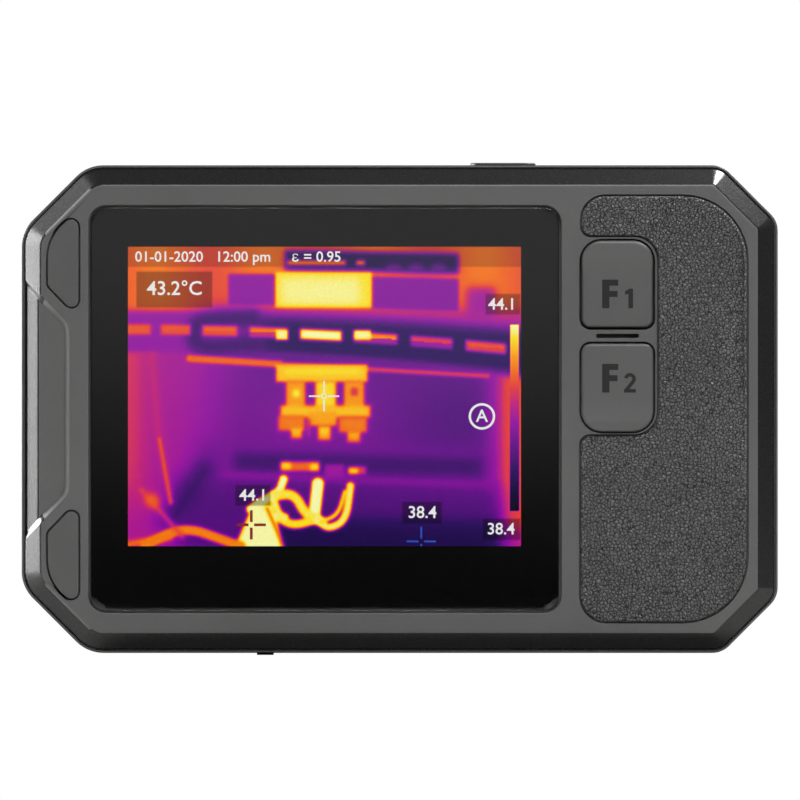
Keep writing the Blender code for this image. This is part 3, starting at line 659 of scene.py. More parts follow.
def polish_and_shade_edges(obj):
    """The second material goes to the leaning faces near the outline.

    A face leans when its normal's share along -Y is below the limit. It is near the outline
    when it lies in a band along a side, or along a cut corner, where |x| + |z| is largest.
    """
    mesh = obj.data
    normals, centres = np.zeros((2, 3 * len(mesh.polygons)))
    mesh.polygons.foreach_get("normal", normals)
    mesh.polygons.foreach_get("center", centres)
    leaning = -normals.reshape(-1, 3)[:, 1] < FLAT_FRONT
    across, _, up = np.abs(centres.reshape(-1, 3) / MM - (0.0, 0.0, MIDDLE_UP / MM)).T
    near_edge = (across > HALF_WIDTH - EDGE_BAND) | (up > HALF_HEIGHT - EDGE_BAND)
    near_edge |= across + up > HALF_WIDTH + HALF_HEIGHT - RIGHT_LEG - CORNER_BAND
    # The leaning faces near the outline get the darkened, painted-shade copy of the plastic.
    mesh.polygons.foreach_set("material_index", (leaning & near_edge).astype(np.int32))
    print("polished faces:", int((leaning & near_edge).sum()))


polish_and_shade_edges(bezel)

# %% [markdown]
# ## Camera, floor and light
#
# The camera looks straight along +Y from far away, so nothing narrows towards the back. A soft
# box stands far to the left, a little behind the face: its light runs along the polished left
# edge and misses the face. The face is lit from above in front, the top edge by a small box
# overhead, and the lens side by two boxes behind. The glass mirrors what stands in front of it,
# so a graded card is put there, bright above and dark below, that only reflections can see.

# %% Camera
VIEW_WIDTH = 0.1424
VIEW_ASIDE, VIEW_UP = 0.00007, 0.00162


def make_camera():
    data = bpy.data.cameras.new("front_camera")
    data.type = "ORTHO"
    data.ortho_scale = VIEW_WIDTH
    camera = add_object("front_camera", data)
    camera.location = (VIEW_ASIDE, -0.6, MIDDLE_UP + VIEW_UP)
    camera.rotation_euler = (math.radians(90.0), 0.0, 0.0)
    bpy.context.scene.camera = camera


make_camera()

# %% Floor
FLOOR_HALF = 1.5


def sheet(name, corners, material):
    """One flat four-cornered face."""
    mesh = bpy.data.meshes.new(name)
    mesh.from_pydata(corners, [], [(0, 1, 2, 3)])
    mesh.materials.append(material)
    return add_object(name, mesh)


board = one_noise("pale_painted_board", "#A6A6A4", 0.7, 9.0, 4.0, ("#A2A2A0", "#AAAAA8"))
turns = ((-1, -1), (1, -1), (1, 1), (-1, 1))
floor = sheet("floor", [(x * FLOOR_HALF, y * FLOOR_HALF, 0.0) for x, y in turns], board)
floor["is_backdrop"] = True
print("floor:", 2 * FLOOR_HALF, "m across")

# %% Lights
MIDDLE = (0.0, 0.0, MIDDLE_UP)
LEFT_AIM, TOP_AIM = (0.0, 0.02, MIDDLE_UP), (0.03, 0.0, MIDDLE_UP)


def soft_box(name, place_at, aim, size, power):
    """A rectangular lamp at a place, turned to face another place. Cameras don't see it."""
    data = bpy.data.lights.new(name, "AREA")
    data.shape = "RECTANGLE"
    data.size, data.size_y = size
    data.energy = power
    lamp = add_object(name, data)
    lamp.location = place_at
    direction = Vector(aim) - Vector(place_at)
    lamp.rotation_euler = direction.to_track_quat("-Z", "Y").to_euler()
    lamp.visible_camera = False


for name, place_at, aim, size, power in (
    ("left_box", (-0.55, 0.125, 0.16), LEFT_AIM, (0.25, 0.4), 11.0),
    ("upper_left_box", (-0.4, 0.12, 0.42), LEFT_AIM, (0.2, 0.2), 1.0),
    ("front_key", (0.12, -0.62, 0.66), MIDDLE, (0.35, 0.35), 4.1),
    ("front_fill", (0.3, -0.9, 0.25), MIDDLE, (0.3, 0.3), 0.5),
    ("top_box", (0.16, 0.0, 0.3), TOP_AIM, (0.09, 0.09), 1.5),
    ("back_key", (0.45, 0.7, 0.55), MIDDLE, (0.45, 0.45), 6.0),
    ("back_fill", (-0.6, 0.6, 0.2), MIDDLE, (0.4, 0.4), 2.2),
):
    soft_box(name, place_at, aim, size, power)
    print(f"{name}: {power} W")

# %% A graded card for the glass to mirror
CARD_HALF_WIDTH, CARD_REACH, CARD_AT = 0.12, 0.1, -0.8
CARD_DARK, CARD_BRIGHT = -0.04, 0.042


def card_finish():
    """Light that grows with z + x z, in metres: dim below, and a little brighter at the right."""
    material = bpy.data.materials.new("graded_reflector_card")
    material.use_nodes = True
    tree = material.node_tree
    tree.nodes.clear()
    spot = add_node(tree, "SeparateXYZ", [("Vector", add_node(tree, "TexCoord"), "Object")])
    factors = [(0, spot, "X"), (1, spot, "Z"), (2, spot, "Z")]
    lean = add_node(tree, "Math", factors, operation="MULTIPLY_ADD")
    limits = {"From Min": MIDDLE_UP + CARD_DARK, "From Max": MIDDLE_UP + CARD_BRIGHT}
    grade = add_node(
        tree, "MapRange", [("Value", lean, "Value")], {**limits, "To Min": 0.02, "To Max": 0.36},
        interpolation_type="SMOOTHERSTEP",
    )
    light = add_node(tree, "Emission", [("Strength", grade, "Result")])
    add_node(tree, "OutputMaterial", [("Surface", light, "Emission")])
    return material


turns = ((-1, 1), (1, 1), (1, -1), (-1, -1))
corners = [(x * CARD_HALF_WIDTH, CARD_AT, MIDDLE_UP + z * CARD_REACH) for x, z in turns]
card = sheet("reflector_card", corners, card_finish())
card.visible_camera = False
card.visible_diffuse = False
card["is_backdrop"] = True
print("card:", 2 * CARD_HALF_WIDTH, "m wide, at", CARD_AT)

# %% The room: white to look at, dim as a light
WHITE = (1.0, 1.0, 1.0, 1.0)
ROOM_LIGHT = 0.05


def make_world():
    world = bpy.data.worlds.new("white_room")
    world.use_nodes = True
    tree = world.node_tree
    tree.nodes.clear()
    path = add_node(tree, "LightPath")
    seen = add_node(tree, "Background", inputs={"Color": WHITE, "Strength": 1.0})
    lighting = add_node(tree, "Background", inputs={"Color": WHITE, "Strength": ROOM_LIGHT})
    links = [("Fac", path, "Is Camera Ray"), (1, lighting, "Background"), (2, seen, "Background")]
    mix = add_node(tree, "MixShader", links)
    add_node(tree, "OutputWorld", [("Surface", mix, "Shader")])
    bpy.context.scene.world = world
    bpy.context.scene.view_settings.view_transform = "Standard"


make_world()

# %% [markdown]
# ## The rear shell
#
# The rear shell is a tray: an outside skin with a 45 degree edge at the back, and an inside skin
# 2.4 mm further in. Its flat back has a recess for the lens panel, three sight holes and the
# speaker's slots, which are holes in the fills. The openings in its top and bottom walls would
# break up the long walls, so those few are cut afterwards with solids made the same way.

# %% Depths and places on the lens side
SHELL_FRONT, SHELL_BACK = [corner[1] for corner in node_box("rear_housing")]
INNER_BACK, WALL = 8.6, 2.4
REAR_EDGE = 3.4
LENS = (-10.0, 20.0)
CAMERA_EYE = (8.0, 25.6)
TORCH = (8.0, 14.4)
PANEL_OUTLINE = rectangle(-23.0, 15.0, 7.0, 33.0, 6.0)
RECESS_FLOOR = 9.8
SPEAKER_SLOTS = [bar((40.0, -25.0 + 2.2 * i), 9.0, 1.0) for i in range(5)]
BOARD_SCREWS = [(-49.0, 33.5), (47.0, 33.5), (-49.0, -33.5), (47.0, -33.5)]
print(f"rear shell from {SHELL_FRONT:.2f} to {SHELL_BACK:.2f}")

# %% Build the shell's two skins
def make_tray():
    shell = Shell()
    profile = [
        (-5.0, INNER_BACK),
        (-4.2, INNER_BACK),
        (-WALL, INNER_BACK - 1.8),
        (-WALL, -6.4),
        (-1.3, -6.4),
        (-1.3, SHELL_FRONT),
        (0.0, SHELL_FRONT),
        (0.0, SHELL_BACK - REAR_EDGE),
        (-REAR_EDGE, SHELL_BACK),
        (-REAR_EDGE - 0.8, SHELL_BACK),
    ]
    rings = shell.carry(CASE, soft(profile, [0.3, 0.3, 0.05, 0.1, 0.1, 0.15, 0.7, 0.7], 5))
    lip = [(GAP + 0.3, SHELL_BACK), (GAP, SHELL_BACK), (GAP, RECESS_FLOOR), (GAP - 0.4, RECESS_FLOOR)]
    lip = soft(lip, [0.2, 0.1])
    recess = shell.carry(PANEL_OUTLINE, lip)
    lens = shell.turn(LENS, [(7.6, RECESS_FLOOR), (7.6, 9.3), (9.0, 9.3), (9.0, INNER_BACK)])
    eye = [(3.4, RECESS_FLOOR), (3.4, INNER_BACK)]
    eyes = [shell.turn(spot, eye, count=40) for spot in (CAMERA_EYE, TORCH)]
    slot_lip = soft([(0.2, SHELL_BACK), (0.0, SHELL_BACK), (0.0, INNER_BACK)], 0.18)
    slots = [shell.carry(slot, slot_lip) for slot in SPEAKER_SLOTS]
    case_post = [(1.3, 3.0), (1.3, -4.7), (3.0, -4.7), (3.0, INNER_BACK)]
    board_post = [(1.0, 4.0), (1.0, -1.3), (2.2, -1.3), (2.2, INNER_BACK)]
    posts = [shell.turn(spot, case_post, count=24) for spot in CASE_SCREWS]
    posts += [shell.turn(spot, board_post, count=24) for spot in BOARD_SCREWS]
    for post in posts:
        shell.cap(post[0])
    shell.fill(recess[-1], lens[0], eyes[0][0], eyes[1][0])
    shell.fill(rings[-1], recess[0], *[slot[0] for slot in slots])
    inner_holes = [lens[-1], eyes[0][-1], eyes[1][-1]]
    inner_holes += [slot[-1] for slot in slots] + [post[-1] for post in posts]
    shell.fill(rings[0], *inner_holes)
    return shell


# %% Cutters and the solids they come from
def closed(corners, profile, axis="Z"):
    """A solid: a profile of (grow, depth) carried round an outline, with both ends capped."""
    shell = Shell()
    rings = shell.carry(corners, profile, axis)
    shell.cap(rings[0])
    shell.cap(rings[-1])
    return shell


def closed_round(centre, profile, axis="Z", count=64):
    """A solid turned from (radius, depth) rows, with both ends capped."""
    shell = Shell()
    rings = shell.turn(centre, profile, axis, count)
    shell.cap(rings[0])
    shell.cap(rings[-1])
    return shell


def combine(mesh, shells, operation):
    """The mesh after each shell has been cut from it or joined to it."""
    target = add_object("target", mesh)
    tools = []
    for shell in shells:
        tool = add_object("tool", make_mesh("tool", shell))
        tools.append(tool)
        change = target.modifiers.new("change", "BOOLEAN")
        change.operation = operation
        change.solver = "EXACT"
        change.object = tool
    bpy.context.view_layer.update()
    graph = bpy.context.evaluated_depsgraph_get()
    made = bpy.data.meshes.new_from_object(target.evaluated_get(graph))
    for obj in (target, *tools):
        bpy.data.objects.remove(obj, do_unlink=True)
    return made


# %% Places on the bottom and top edges
PORT = (-30.5, 0.3)
TRIPOD = (0.0, 1.8)
POWER = (18.4, 1.4)
cover_low, cover_high = node_box("port_cover")
COVER = rectangle(cover_low[0], cover_high[0], PORT[1] - 3.8, PORT[1] + 3.8, 1.4)
POWER_KEY = bar(POWER, 11.6, 4.0)
BOTTOM, TOP = -HALF_HEIGHT, HALF_HEIGHT

tray = make_mesh("rear_shell", make_tray())
tray = combine(tray, [closed_round(TRIPOD, [(6.3, BOTTOM + 2.0), (6.3, -33.4)])], "UNION")
tray = combine(
    tray,
    [
        closed_round(TRIPOD, [(5.3, BOTTOM - 0.6), (5.3, BOTTOM - 0.1), (4.9, BOTTOM + 0.3), (4.9, -34.7)]),
        closed(COVER, [(0.9, BOTTOM - 0.6), (0.9, BOTTOM - 0.3), (GAP, BOTTOM + 0.3), (GAP, BOTTOM + 1.5)]),
        closed(bar(PORT, 10.0, 4.2), [(0.0, BOTTOM + 0.5), (0.0, -40.0)]),
        closed(POWER_KEY, [(GAP, 40.0), (GAP, TOP - 0.25), (GAP + 0.5, TOP + 0.25), (GAP + 0.5, TOP + 0.8)]),
    ],
    "DIFFERENCE",
)
place("rear_shell", tray, [shell_plastic], slot="housing_plastic", replaces=["rear_housing"])

# %% [markdown]
# ## Screw plugs
#
# Two soft caps hide the screws at the left. They are moulded from a slightly shinier plastic
# than the face and stand flush with it, so only the fine gap round each one shows.

# %% Plugs
plug_plastic = moulded_plastic("soft_cap_plastic", "#545454", "#585858", "#4F4F4F", 0.5)


def flat_piece(corners, front, back, edge):
    """A plate with a soft front edge and a nearly crisp back edge."""
    rows = soft([(-1.2, front), (0.0, front), (0.0, back), (-0.6, back)], [edge, 0.06], 5)
    return closed(corners, rows, "Y")


for name, corners, node in (
    ("cap_upper", UPPER_PLUG, "screw_plug_upper"),
    ("cap_lower", LOWER_PLUG, "screw_plug_lower"),
):
    plug_low, plug_high = node_box(node)
    make_piece(
        name, flat_piece(corners, plug_low[1], plug_high[1], 0.16), plug_plastic,
        slot="plug_plastic", replaces=[node],
    )

# %% [markdown]
# ## Function keys
#
# Each key is level at its outer end and then dips into a shallow dish for a fingertip. Its
# height depends only on how far up the key one stands, so the top is a ladder: the outline's
# left side is matched to its right side, rung by rung. The same height function bends the soft
# edge, which follows the dish down.

# %% Ladder outline
RUNGS = 48


def ladder(corners, inset):
    """Left and right sides of a rectangle with round corners, as matched (x, z) points.

    Both sides climb through the lower arc, the straight part and the upper arc.
    """
    flat = outline(corners, -inset)
    low_left, low_right, high_right, high_left = flat.reshape(4, ARC_POINTS, 2)
    climb = np.linspace(0.0, 1.0, RUNGS + 2)[1:-1, None]
    right = np.vstack([low_right, low_right[-1] + (high_right[0] - low_right[-1]) * climb, high_right])
    low_left, high_left = low_left[::-1], high_left[::-1]
    left = np.vstack([low_left, low_left[-1] + (high_left[0] - low_left[-1]) * climb, high_left])
    return left, right


def smooth_step(x, start, end):
    """0 before start and 1 after end, with a gentle 3t^2 - 2t^3 between."""
    t = np.clip((x - start) / (end - start), 0.0, 1.0)
    return 3 * t**2 - 2 * t**3


# %% Build a key
KEY_FRONT = node_box("button_f1")[0][1]
KEY_FLOORS = {"f1_key": -10.9, "f2_key": -11.7}
KEY_EDGE, KEY_FLANGE = 0.55, 0.8
LEVEL_PART, DISH_LENGTH = 1.7, 5.0


def key_height(z, outer_end, inwards, floor):
    """Depth of the key's top: level, then 1 - (1 - t)^2, a slope that starts at once and fades out."""
    along = (z - outer_end) * inwards
    t = np.clip((along - LEVEL_PART) / DISH_LENGTH, 0.0, 1.0)
    soft_start = smooth_step(along, LEVEL_PART - 0.1, LEVEL_PART + 0.4)
    dip = (1.0 - (1.0 - t) ** 2) * soft_start
    return KEY_FRONT + (floor - KEY_FRONT) * dip


def make_key(corners, outer_end, inwards, floor):
    shell = Shell()
    rings = []
    for grow, depth in ((KEY_FLANGE, -7.8), (KEY_FLANGE, -8.6), (0.0, -8.6), (0.0, FACE + 0.2)):
        left, right = ladder(corners, -grow)
        rings.append(shell.ring(np.vstack([right, left[::-1]]), depth))
    for angle in np.linspace(0.0, 0.5 * math.pi, 7):
        left, right = ladder(corners, KEY_EDGE * (1.0 - math.cos(angle)))
        flat = np.vstack([right, left[::-1]])
        drop = KEY_EDGE * (1.0 - math.sin(angle))
        rings.append(shell.ring(flat, key_height(flat[:, 1], outer_end, inwards, floor) + drop))
    shell.wall(rings)
    shell.cap(rings[0])
    half = len(rings[-1]) // 2
    shell.wall([rings[-1][:half], rings[-1][half:][::-1]], closed=False)
    return shell


key_plastic = moulded_plastic("key_plastic", "#5A5A5A", "#5F5F5F", "#555555", 0.42, depth=0.006)
for name, corners, node, body, outer_end, inwards in (
    ("key_f1", F1, "button_f1", "f1_key", F1[2][1], -1.0),
    ("key_f2", F2, "button_f2", "f2_key", F2[0][1], 1.0),
):
    make_piece(
        name, make_key(corners, outer_end, inwards, KEY_FLOORS[body]), key_plastic,
        body=body, slot="key_plastic", replaces=[node],
    )

# %% [markdown]
# ## Key legends
#
# The function keys are marked with a plain letter and number, printed in dark ink. A legend
# is made from bars: a short path gets a width, so that it becomes a closed flat outline. The
# rounded ones follow arcs.

# %% Strokes
def stroke(shell, path, width, front, thickness):
    """A flat bar along a path: each point moves half the width to both sides of its tangent."""
    path = np.asarray(path, float)
    tangent = np.gradient(path, axis=0)
    tangent /= np.linalg.norm(tangent, axis=1, keepdims=True)
    side = np.column_stack([-tangent[:, 1], tangent[:, 0]]) * width / 2
    flat = np.vstack([path + side, (path - side)[::-1]])
    near, far = shell.ring(flat, front), shell.ring(flat, front + thickness)
    shell.wall([near, far])
    half = len(path)
    for ring in (near, far):
        shell.wall([ring[:half], ring[half:][::-1]], closed=False)


def arc(centre, radius, start, end, count=14):
    """Points on an arc between two angles in degrees."""
    angle = np.radians(np.linspace(start, end, count))
    return np.column_stack([centre[0] + radius * np.cos(angle), centre[1] + radius * np.sin(angle)])


def flat_letter(shell, corners, x, z, front):
    """A closed outline with hardly rounded corners, drawn out to a thin solid."""
    moved = [(x + across, z + up, 0.12) for across, up in corners]
    near = shell.ring(outline(moved), front)
    far = shell.ring(outline(moved), front + INK_THICKNESS)
    shell.wall([near, far])
    shell.fill(near)
    shell.fill(far)


INK_THICKNESS = 0.05
LETTER_F = [
    (0.0, 0.0), (1.3, 0.0), (1.3, 2.02), (2.75, 2.02), (2.75, 3.08),
    (1.3, 3.08), (1.3, 4.02), (2.87, 4.02), (2.87, 5.1), (0.0, 5.1),
]
DIGIT_1 = [(0.6, 0.0), (1.42, 0.0), (1.42, 3.5), (0.85, 3.5), (0.0, 3.05), (0.0, 2.35), (0.6, 2.6)]


def digit_2(shell, x, z, front):
    """An arc that runs into a slanting stroke, with a bar across its foot."""
    bend = arc((x + 1.05, z + 2.42), 0.74, 170.0, -38.0)
    stroke(shell, np.vstack([bend, [(x + 0.36, z + 0.4)]]), 0.62, front, INK_THICKNESS)
    stroke(shell, [(x + 0.0, z + 0.31), (x + 2.1, z + 0.31)], 0.62, front + 0.004, INK_THICKNESS)


# %% Legend pieces
ink = moulded_plastic("printed_legend_ink", "#0E0E0E", "#111111", "#0B0B0B", 0.6, depth=0.003)
for number, body, base in ((1, "f1_key", 17.95), (2, "f2_key", 2.95)):
    legend = Shell()
    ink_front = KEY_FLOORS[body] - 0.02
    flat_letter(legend, LETTER_F, 36.05, base, ink_front)
    if number == 1:
        flat_letter(legend, DIGIT_1, 40.13, base, ink_front)
    else:
        digit_2(legend, 39.95, base, ink_front)
    make_piece(f"legend_{number}", legend, ink, body=body, slot="key_plastic")

# %% [markdown]
# ## The grip pad
#
# The C-shaped pad is rubber with a leather grain: flat cells of about a millimetre, parted by
# narrow creases. Each cell has a middle, set at random within its own square of a grid, and a
# point's distance to its two nearest middles tells how close it is to a crease. The creases are
# real relief here, and an attribute keeps them for the colour as well, which darkens them as painted shade.

# %% Leather grain as a height
CELL = 0.78
CREASE_DEPTH = 0.14
random = np.random.default_rng(7)
CELL_ROWS, CELL_COLUMNS = 140, 80
jitter = random.random((CELL_ROWS, CELL_COLUMNS, 2))
cell_rise = random.random((CELL_ROWS, CELL_COLUMNS))


def crease(points):
    """How deep each (x, z) point lies in a crease, from 0 to 1, and its cell's own rise.

    The nine squares round a point hold its two nearest middles. The gap between the two
    distances is nothing on the line between two cells, and grows away from it.
    """
    scaled = (points - (28.0, -42.0)) / CELL
    home = np.floor(scaled).astype(int)
    distances, rises = [], []
    for row in (-1, 0, 1):
        for column in (-1, 0, 1):
            cell = home + (column, row)
            x, z = cell[:, 0] % CELL_COLUMNS, cell[:, 1] % CELL_ROWS
            middle = cell + jitter[z, x]
            distances.append(np.linalg.norm(scaled - middle, axis=1))
            rises.append(cell_rise[z, x])
    distances, rises = np.array(distances), np.array(rises)
    order = np.argsort(distances, axis=0)
    nearest = np.take_along_axis(distances, order[:2], axis=0)
    own = np.take_along_axis(rises, order[:1], axis=0)[0]
    return 1.0 - smooth_step(nearest[1] - nearest[0], 0.05, 0.3), own


# %% Build the pad
pad_low, pad_high = node_box("grip_pad")
PAD_FRONT, PAD_BACK = pad_low[1], pad_high[1]
PAD_STEP = 0.19
PAD_EDGE = 0.45
CELL_DOME, CORNER_SINK = 0.03, 0.36


def inside(points, loop):
    """Whether each point is in a closed outline: a ray to the right crosses it an odd number of times."""
    x, z = points[:, :1], points[:, 1:]
    x0, z0 = loop[:, 0], loop[:, 1]
    x1, z1 = np.roll(x0, -1), np.roll(z0, -1)
    spans = (z0 > z) != (z1 > z)
    rise = np.where(z1 == z0, 1.0, z1 - z0)
    return (spans & (x < x0 + (x1 - x0) * (z - z0) / rise)).sum(axis=1) % 2 == 1


def added_points(flat, longest):
    """Splits the sides longer than a limit: each point's side, and its share of the way along it."""
    sides = np.linalg.norm(np.roll(flat, -1, axis=0) - flat, axis=1)
    pieces = np.maximum(1, np.ceil(sides / longest)).astype(int)
    share = np.concatenate([np.arange(n) / n for n in pieces])[:, None]
    return np.repeat(np.arange(len(flat)), pieces), share


def split_sides(flat, side, share):
    return flat[side] + (np.roll(flat, -1, axis=0)[side] - flat[side]) * share


def pad_field():
    """Points over the whole of the pad, on a grid that is shaken a little so that no rows show."""
    x = np.arange(32.0, 62.0, PAD_STEP)
    z = np.arange(-38.0, 38.2, PAD_STEP)
    field = np.stack(np.meshgrid(x, z), axis=-1).reshape(-1, 2)
    field += random.uniform(-0.25, 0.25, field.shape) * PAD_STEP
    return field[inside(field, outline(PAD, -PAD_EDGE - 0.5 * PAD_STEP))]


def make_pad():
    """A top of small triangles with the grain in it, and soft rows from its rim to the back."""
    shell = Shell()
    side, share = added_points(outline(PAD, -PAD_EDGE), 0.35)
    rim = split_sides(outline(PAD, -PAD_EDGE), side, share)
    edges = [(i, (i + 1) % len(rim)) for i in range(len(rim))]
    flat = np.vstack([rim, pad_field()])
    spots, _, triangles, *_ = delaunay_2d_cdt([Vector(p) for p in flat], edges, [], 1, 1e-6)
    spots = np.array(spots)
    deep, rise = crease(spots)
    height = PAD_FRONT + CREASE_DEPTH * deep + CELL_DOME * rise * (1.0 - deep)
    height += CORNER_SINK * smooth_step(spots[:, 0], 57.0, 62.0) * smooth_step(spots[:, 1], -8.0, 8.0)
    height[: len(rim)] = PAD_FRONT + 0.02
    top = shell.ring(spots, height)
    shell.faces += [[int(top[i]) for i in triangle] for triangle in triangles]
    rings = [top[: len(rim)]]
    for angle in np.linspace(0.0, 0.5 * math.pi, 6)[1:]:
        row = split_sides(outline(PAD, -PAD_EDGE * (1 - math.sin(angle))), side, share)
        rings.append(shell.ring(row, PAD_FRONT + PAD_EDGE * (1 - math.cos(angle)) * 0.8))
    rings.append(shell.ring(split_sides(outline(PAD, 0.0), side, share), PAD_BACK))
    shell.wall(rings)
    shell.cap(rings[-1])
    return shell


# %% Rubber with a leather grain
def grained_rubber():
    """Vulcanised rubber: a matt skin with a dusty bloom on the cells, darkened in its creases as painted
    shade.
    """
    material, tree, shader = new_material("grained_rubber_painted_crease_shade", "#505050", 0.5)
    spot = add_node(tree, "TexCoord")
    here = ("Vector", spot, "Object")
    deep = add_node(tree, "Attribute", attribute_name="crease")
    speck = add_node(tree, "TexNoise", [here], {"Scale": 2600.0, "Detail": 2.0})
    cloud = add_node(tree, "TexNoise", [here], {"Scale": 90.0, "Detail": 3.0})
    both = [("A", speck, "Fac"), ("B", cloud, "Fac")]
    skin = add_node(tree, "Mix", both, {"Factor": 0.4}, data_type="FLOAT")
    shift = add_node(tree, "TexNoise", [here], {"Scale": 1500.0, "Detail": 2.0})
    crinkled = add_node(
        tree, "VectorMath", [(0, shift, "Color"), (2, spot, "Object")], {1: (0.5 * MM,) * 3},
        operation="MULTIPLY_ADD",
    )
    web = add_node(
        tree, "TexVoronoi", [("Vector", crinkled, "Vector")], {"Scale": 1.0 / (0.62 * MM)},
        feature="DISTANCE_TO_EDGE",
    )
    limits = {"From Min": 0.04, "From Max": 0.16, "To Min": 1.0, "To Max": 0.0}
    line = add_node(tree, "MapRange", [("Value", web, "Distance")], limits)
    tone = add_node(tree, "ValToRGB", [("Fac", skin, "Result")], stops=[(0.3, "#5C5C5C"), (0.7, "#787878")])
    # Painted shade: the crease attribute and the web's lines darken the base colour towards #0C0C0C.
    crease_shade_share = add_node(tree, "Math", [(0, deep, "Fac")], {1: 0.35}, operation="MULTIPLY")
    folds = [(0, crease_shade_share, "Value"), (1, line, "Result")]
    painted_crease_shade = add_node(tree, "Math", folds, operation="MAXIMUM", use_clamp=True)
    add_node(
        tree, "Mix", [("Factor", painted_crease_shade, "Value"), (6, tone, "Color")], {7: colour("#0C0C0C")},
        data_type="RGBA", into=(2, shader, "Base Color"),
    )
    relief = {"Strength": 1.0, "Distance": 0.5 * MM}
    add_node(tree, "Bump", [("Height", web, "Distance")], relief, into=("Normal", shader, "Normal"))
    return material


grip = make_piece("grip_pad_leather", make_pad(), grained_rubber(), slot="grip_rubber", replaces=["grip_pad"])


def store(obj, name, values):
    """Keeps one number for each vertex as a named attribute."""
    attribute = obj.data.attributes.new(name, "FLOAT", "POINT")
    attribute.data.foreach_set("value", np.asarray(values, np.float32))


def vertices(obj):
    points = np.zeros(3 * len(obj.data.vertices))
    obj.data.vertices.foreach_get("co", points)
    return (points.reshape(-1, 3) - (0.0, 0.0, MIDDLE_UP)) / MM


grip_points = vertices(grip)
grip_crease, _ = crease(grip_points[:, [0, 2]])
grip_crease[grip_points[:, 1] > PAD_FRONT + 0.2] = 0.0
# This crease attribute drives the painted shade in the rubber's colour.
store(grip, "crease", grip_crease)
print("creased share of the pad:", round(float(grip_crease.mean()), 2))

# %% [markdown]
# ## Cover glass
#
# Toughened glass 1.1 mm thick lies in its pocket with a dark gap all round. It is clear, with a
# faint haze of finger grease. What makes it look black is a film of printed ink behind it, with
# a window where the picture shows.

# %% Glass and its black border
PICTURE_LEFT, PICTURE_RIGHT = -48.35, 21.6
PICTURE_LOW, PICTURE_HIGH = -24.4, 28.9
PICTURE_WIDTH = PICTURE_RIGHT - PICTURE_LEFT
PICTURE_HEIGHT = PICTURE_HIGH - PICTURE_LOW
GLASS_FRONT, GLASS_BACK = glass_low[1], glass_high[1]


def ring_plate(outer, inner, front, back):
    """A flat plate with one opening."""
    shell = Shell()
    outside = shell.carry(outer, [(0.0, front), (0.0, back)])
    hole = shell.carry(inner, [(0.0, front), (0.0, back)])
    shell.fill(outside[0], hole[0])
    shell.fill(outside[-1], hole[-1])
    return shell


GLASS_SHAPE = rectangle(GLASS_LEFT, GLASS_RIGHT, GLASS_LOW, GLASS_HIGH, 2.65)
clear_glass = one_noise(
    "toughened_cover_glass", "#FFFFFF", 0.02, 45.0, 4.0, rub=(0.0, 0.05), IOR=1.5, Transmission_Weight=1.0
)
black_ink = one_noise(
    "screen_printed_black_ink", "#080808", 0.6, 900.0, 1.0, ("#060606", "#0B0B0B"), Specular_IOR_Level=0.0
)
make_piece(
    "cover_glass", flat_piece(GLASS_SHAPE, GLASS_FRONT, GLASS_BACK, 0.2), clear_glass,
    slot="cover_glass", replaces=["touch_glass"],
)
PICTURE_WINDOW = rectangle(PICTURE_LEFT, PICTURE_RIGHT, PICTURE_LOW, PICTURE_HIGH, 0.1)
make_piece(
    "black_border", ring_plate(GLASS_SHAPE, PICTURE_WINDOW, GLASS_BACK + 0.02, GLASS_BACK + 0.08),
    black_ink, slot="black_plastic",
)

# %% [markdown]
# ## The picture on the display
#
# A thermal camera shows heat as colour. So the picture is made in the same way: first a field
# of heat from 0 to 1, put together from warm bars, cables and blobs in a switch cabinet, and
# then a ramp that runs from navy over purple and orange to pale yellow. The heat is kept as an
# attribute of a fine grid, and the ramp is a node.

# %% Heat field helpers, in millimetres from the picture's lower left corner
COLUMNS, ROWS = 306, 234
across_line = np.linspace(0.0, PICTURE_WIDTH, COLUMNS)
up_line = np.linspace(0.0, PICTURE_HEIGHT, ROWS)
U, V = np.meshgrid(across_line, up_line)


def rise(distance, blur):
    """0 well outside and 1 well inside a border, blurred over a width."""
    return 1.0 / (1.0 + np.exp(np.clip(-distance / (0.3 * blur), -40.0, 40.0)))


def block_share(left, right, low, high, blur=0.5, tilt=0.0):
    """How much each point belongs to a block. Its top and bottom fall by the tilt for each mm across."""
    drop = tilt * (U - left)
    sides = rise(U - left, blur) * rise(right - U, blur)
    return sides * rise(V + drop - low, blur) * rise(high - V - drop, blur)


def cable_share(path, width, blur=0.45):
    """How much each point belongs to a cable: its distance to the nearest part of a path."""
    path = np.asarray(path, float)
    nearest = np.full(U.shape, 1e9)
    for (x0, z0), (x1, z1) in zip(path[:-1], path[1:]):
        dx, dz = x1 - x0, z1 - z0
        t = np.clip(((U - x0) * dx + (V - z0) * dz) / (dx * dx + dz * dz + 1e-9), 0.0, 1.0)
        nearest = np.minimum(nearest, np.hypot(U - x0 - t * dx, V - z0 - t * dz))
    return rise(0.5 * width - nearest, blur)


def paint(heat, share, value):
    """Moves the heat towards a value where the share is high."""
    return heat + (value - heat) * share


def paint_all(heat, share_of, rows):
    """Paints shapes one after the other. A row is what the share function takes, then the value."""
    for *shape, value in rows:
        heat = paint(heat, share_of(*shape), value)
    return heat


# %% The cabinet's heat
def curve(*points):
    """A smooth path: each inner point becomes a wide soft corner."""
    return soft(points, 4.0, 8)


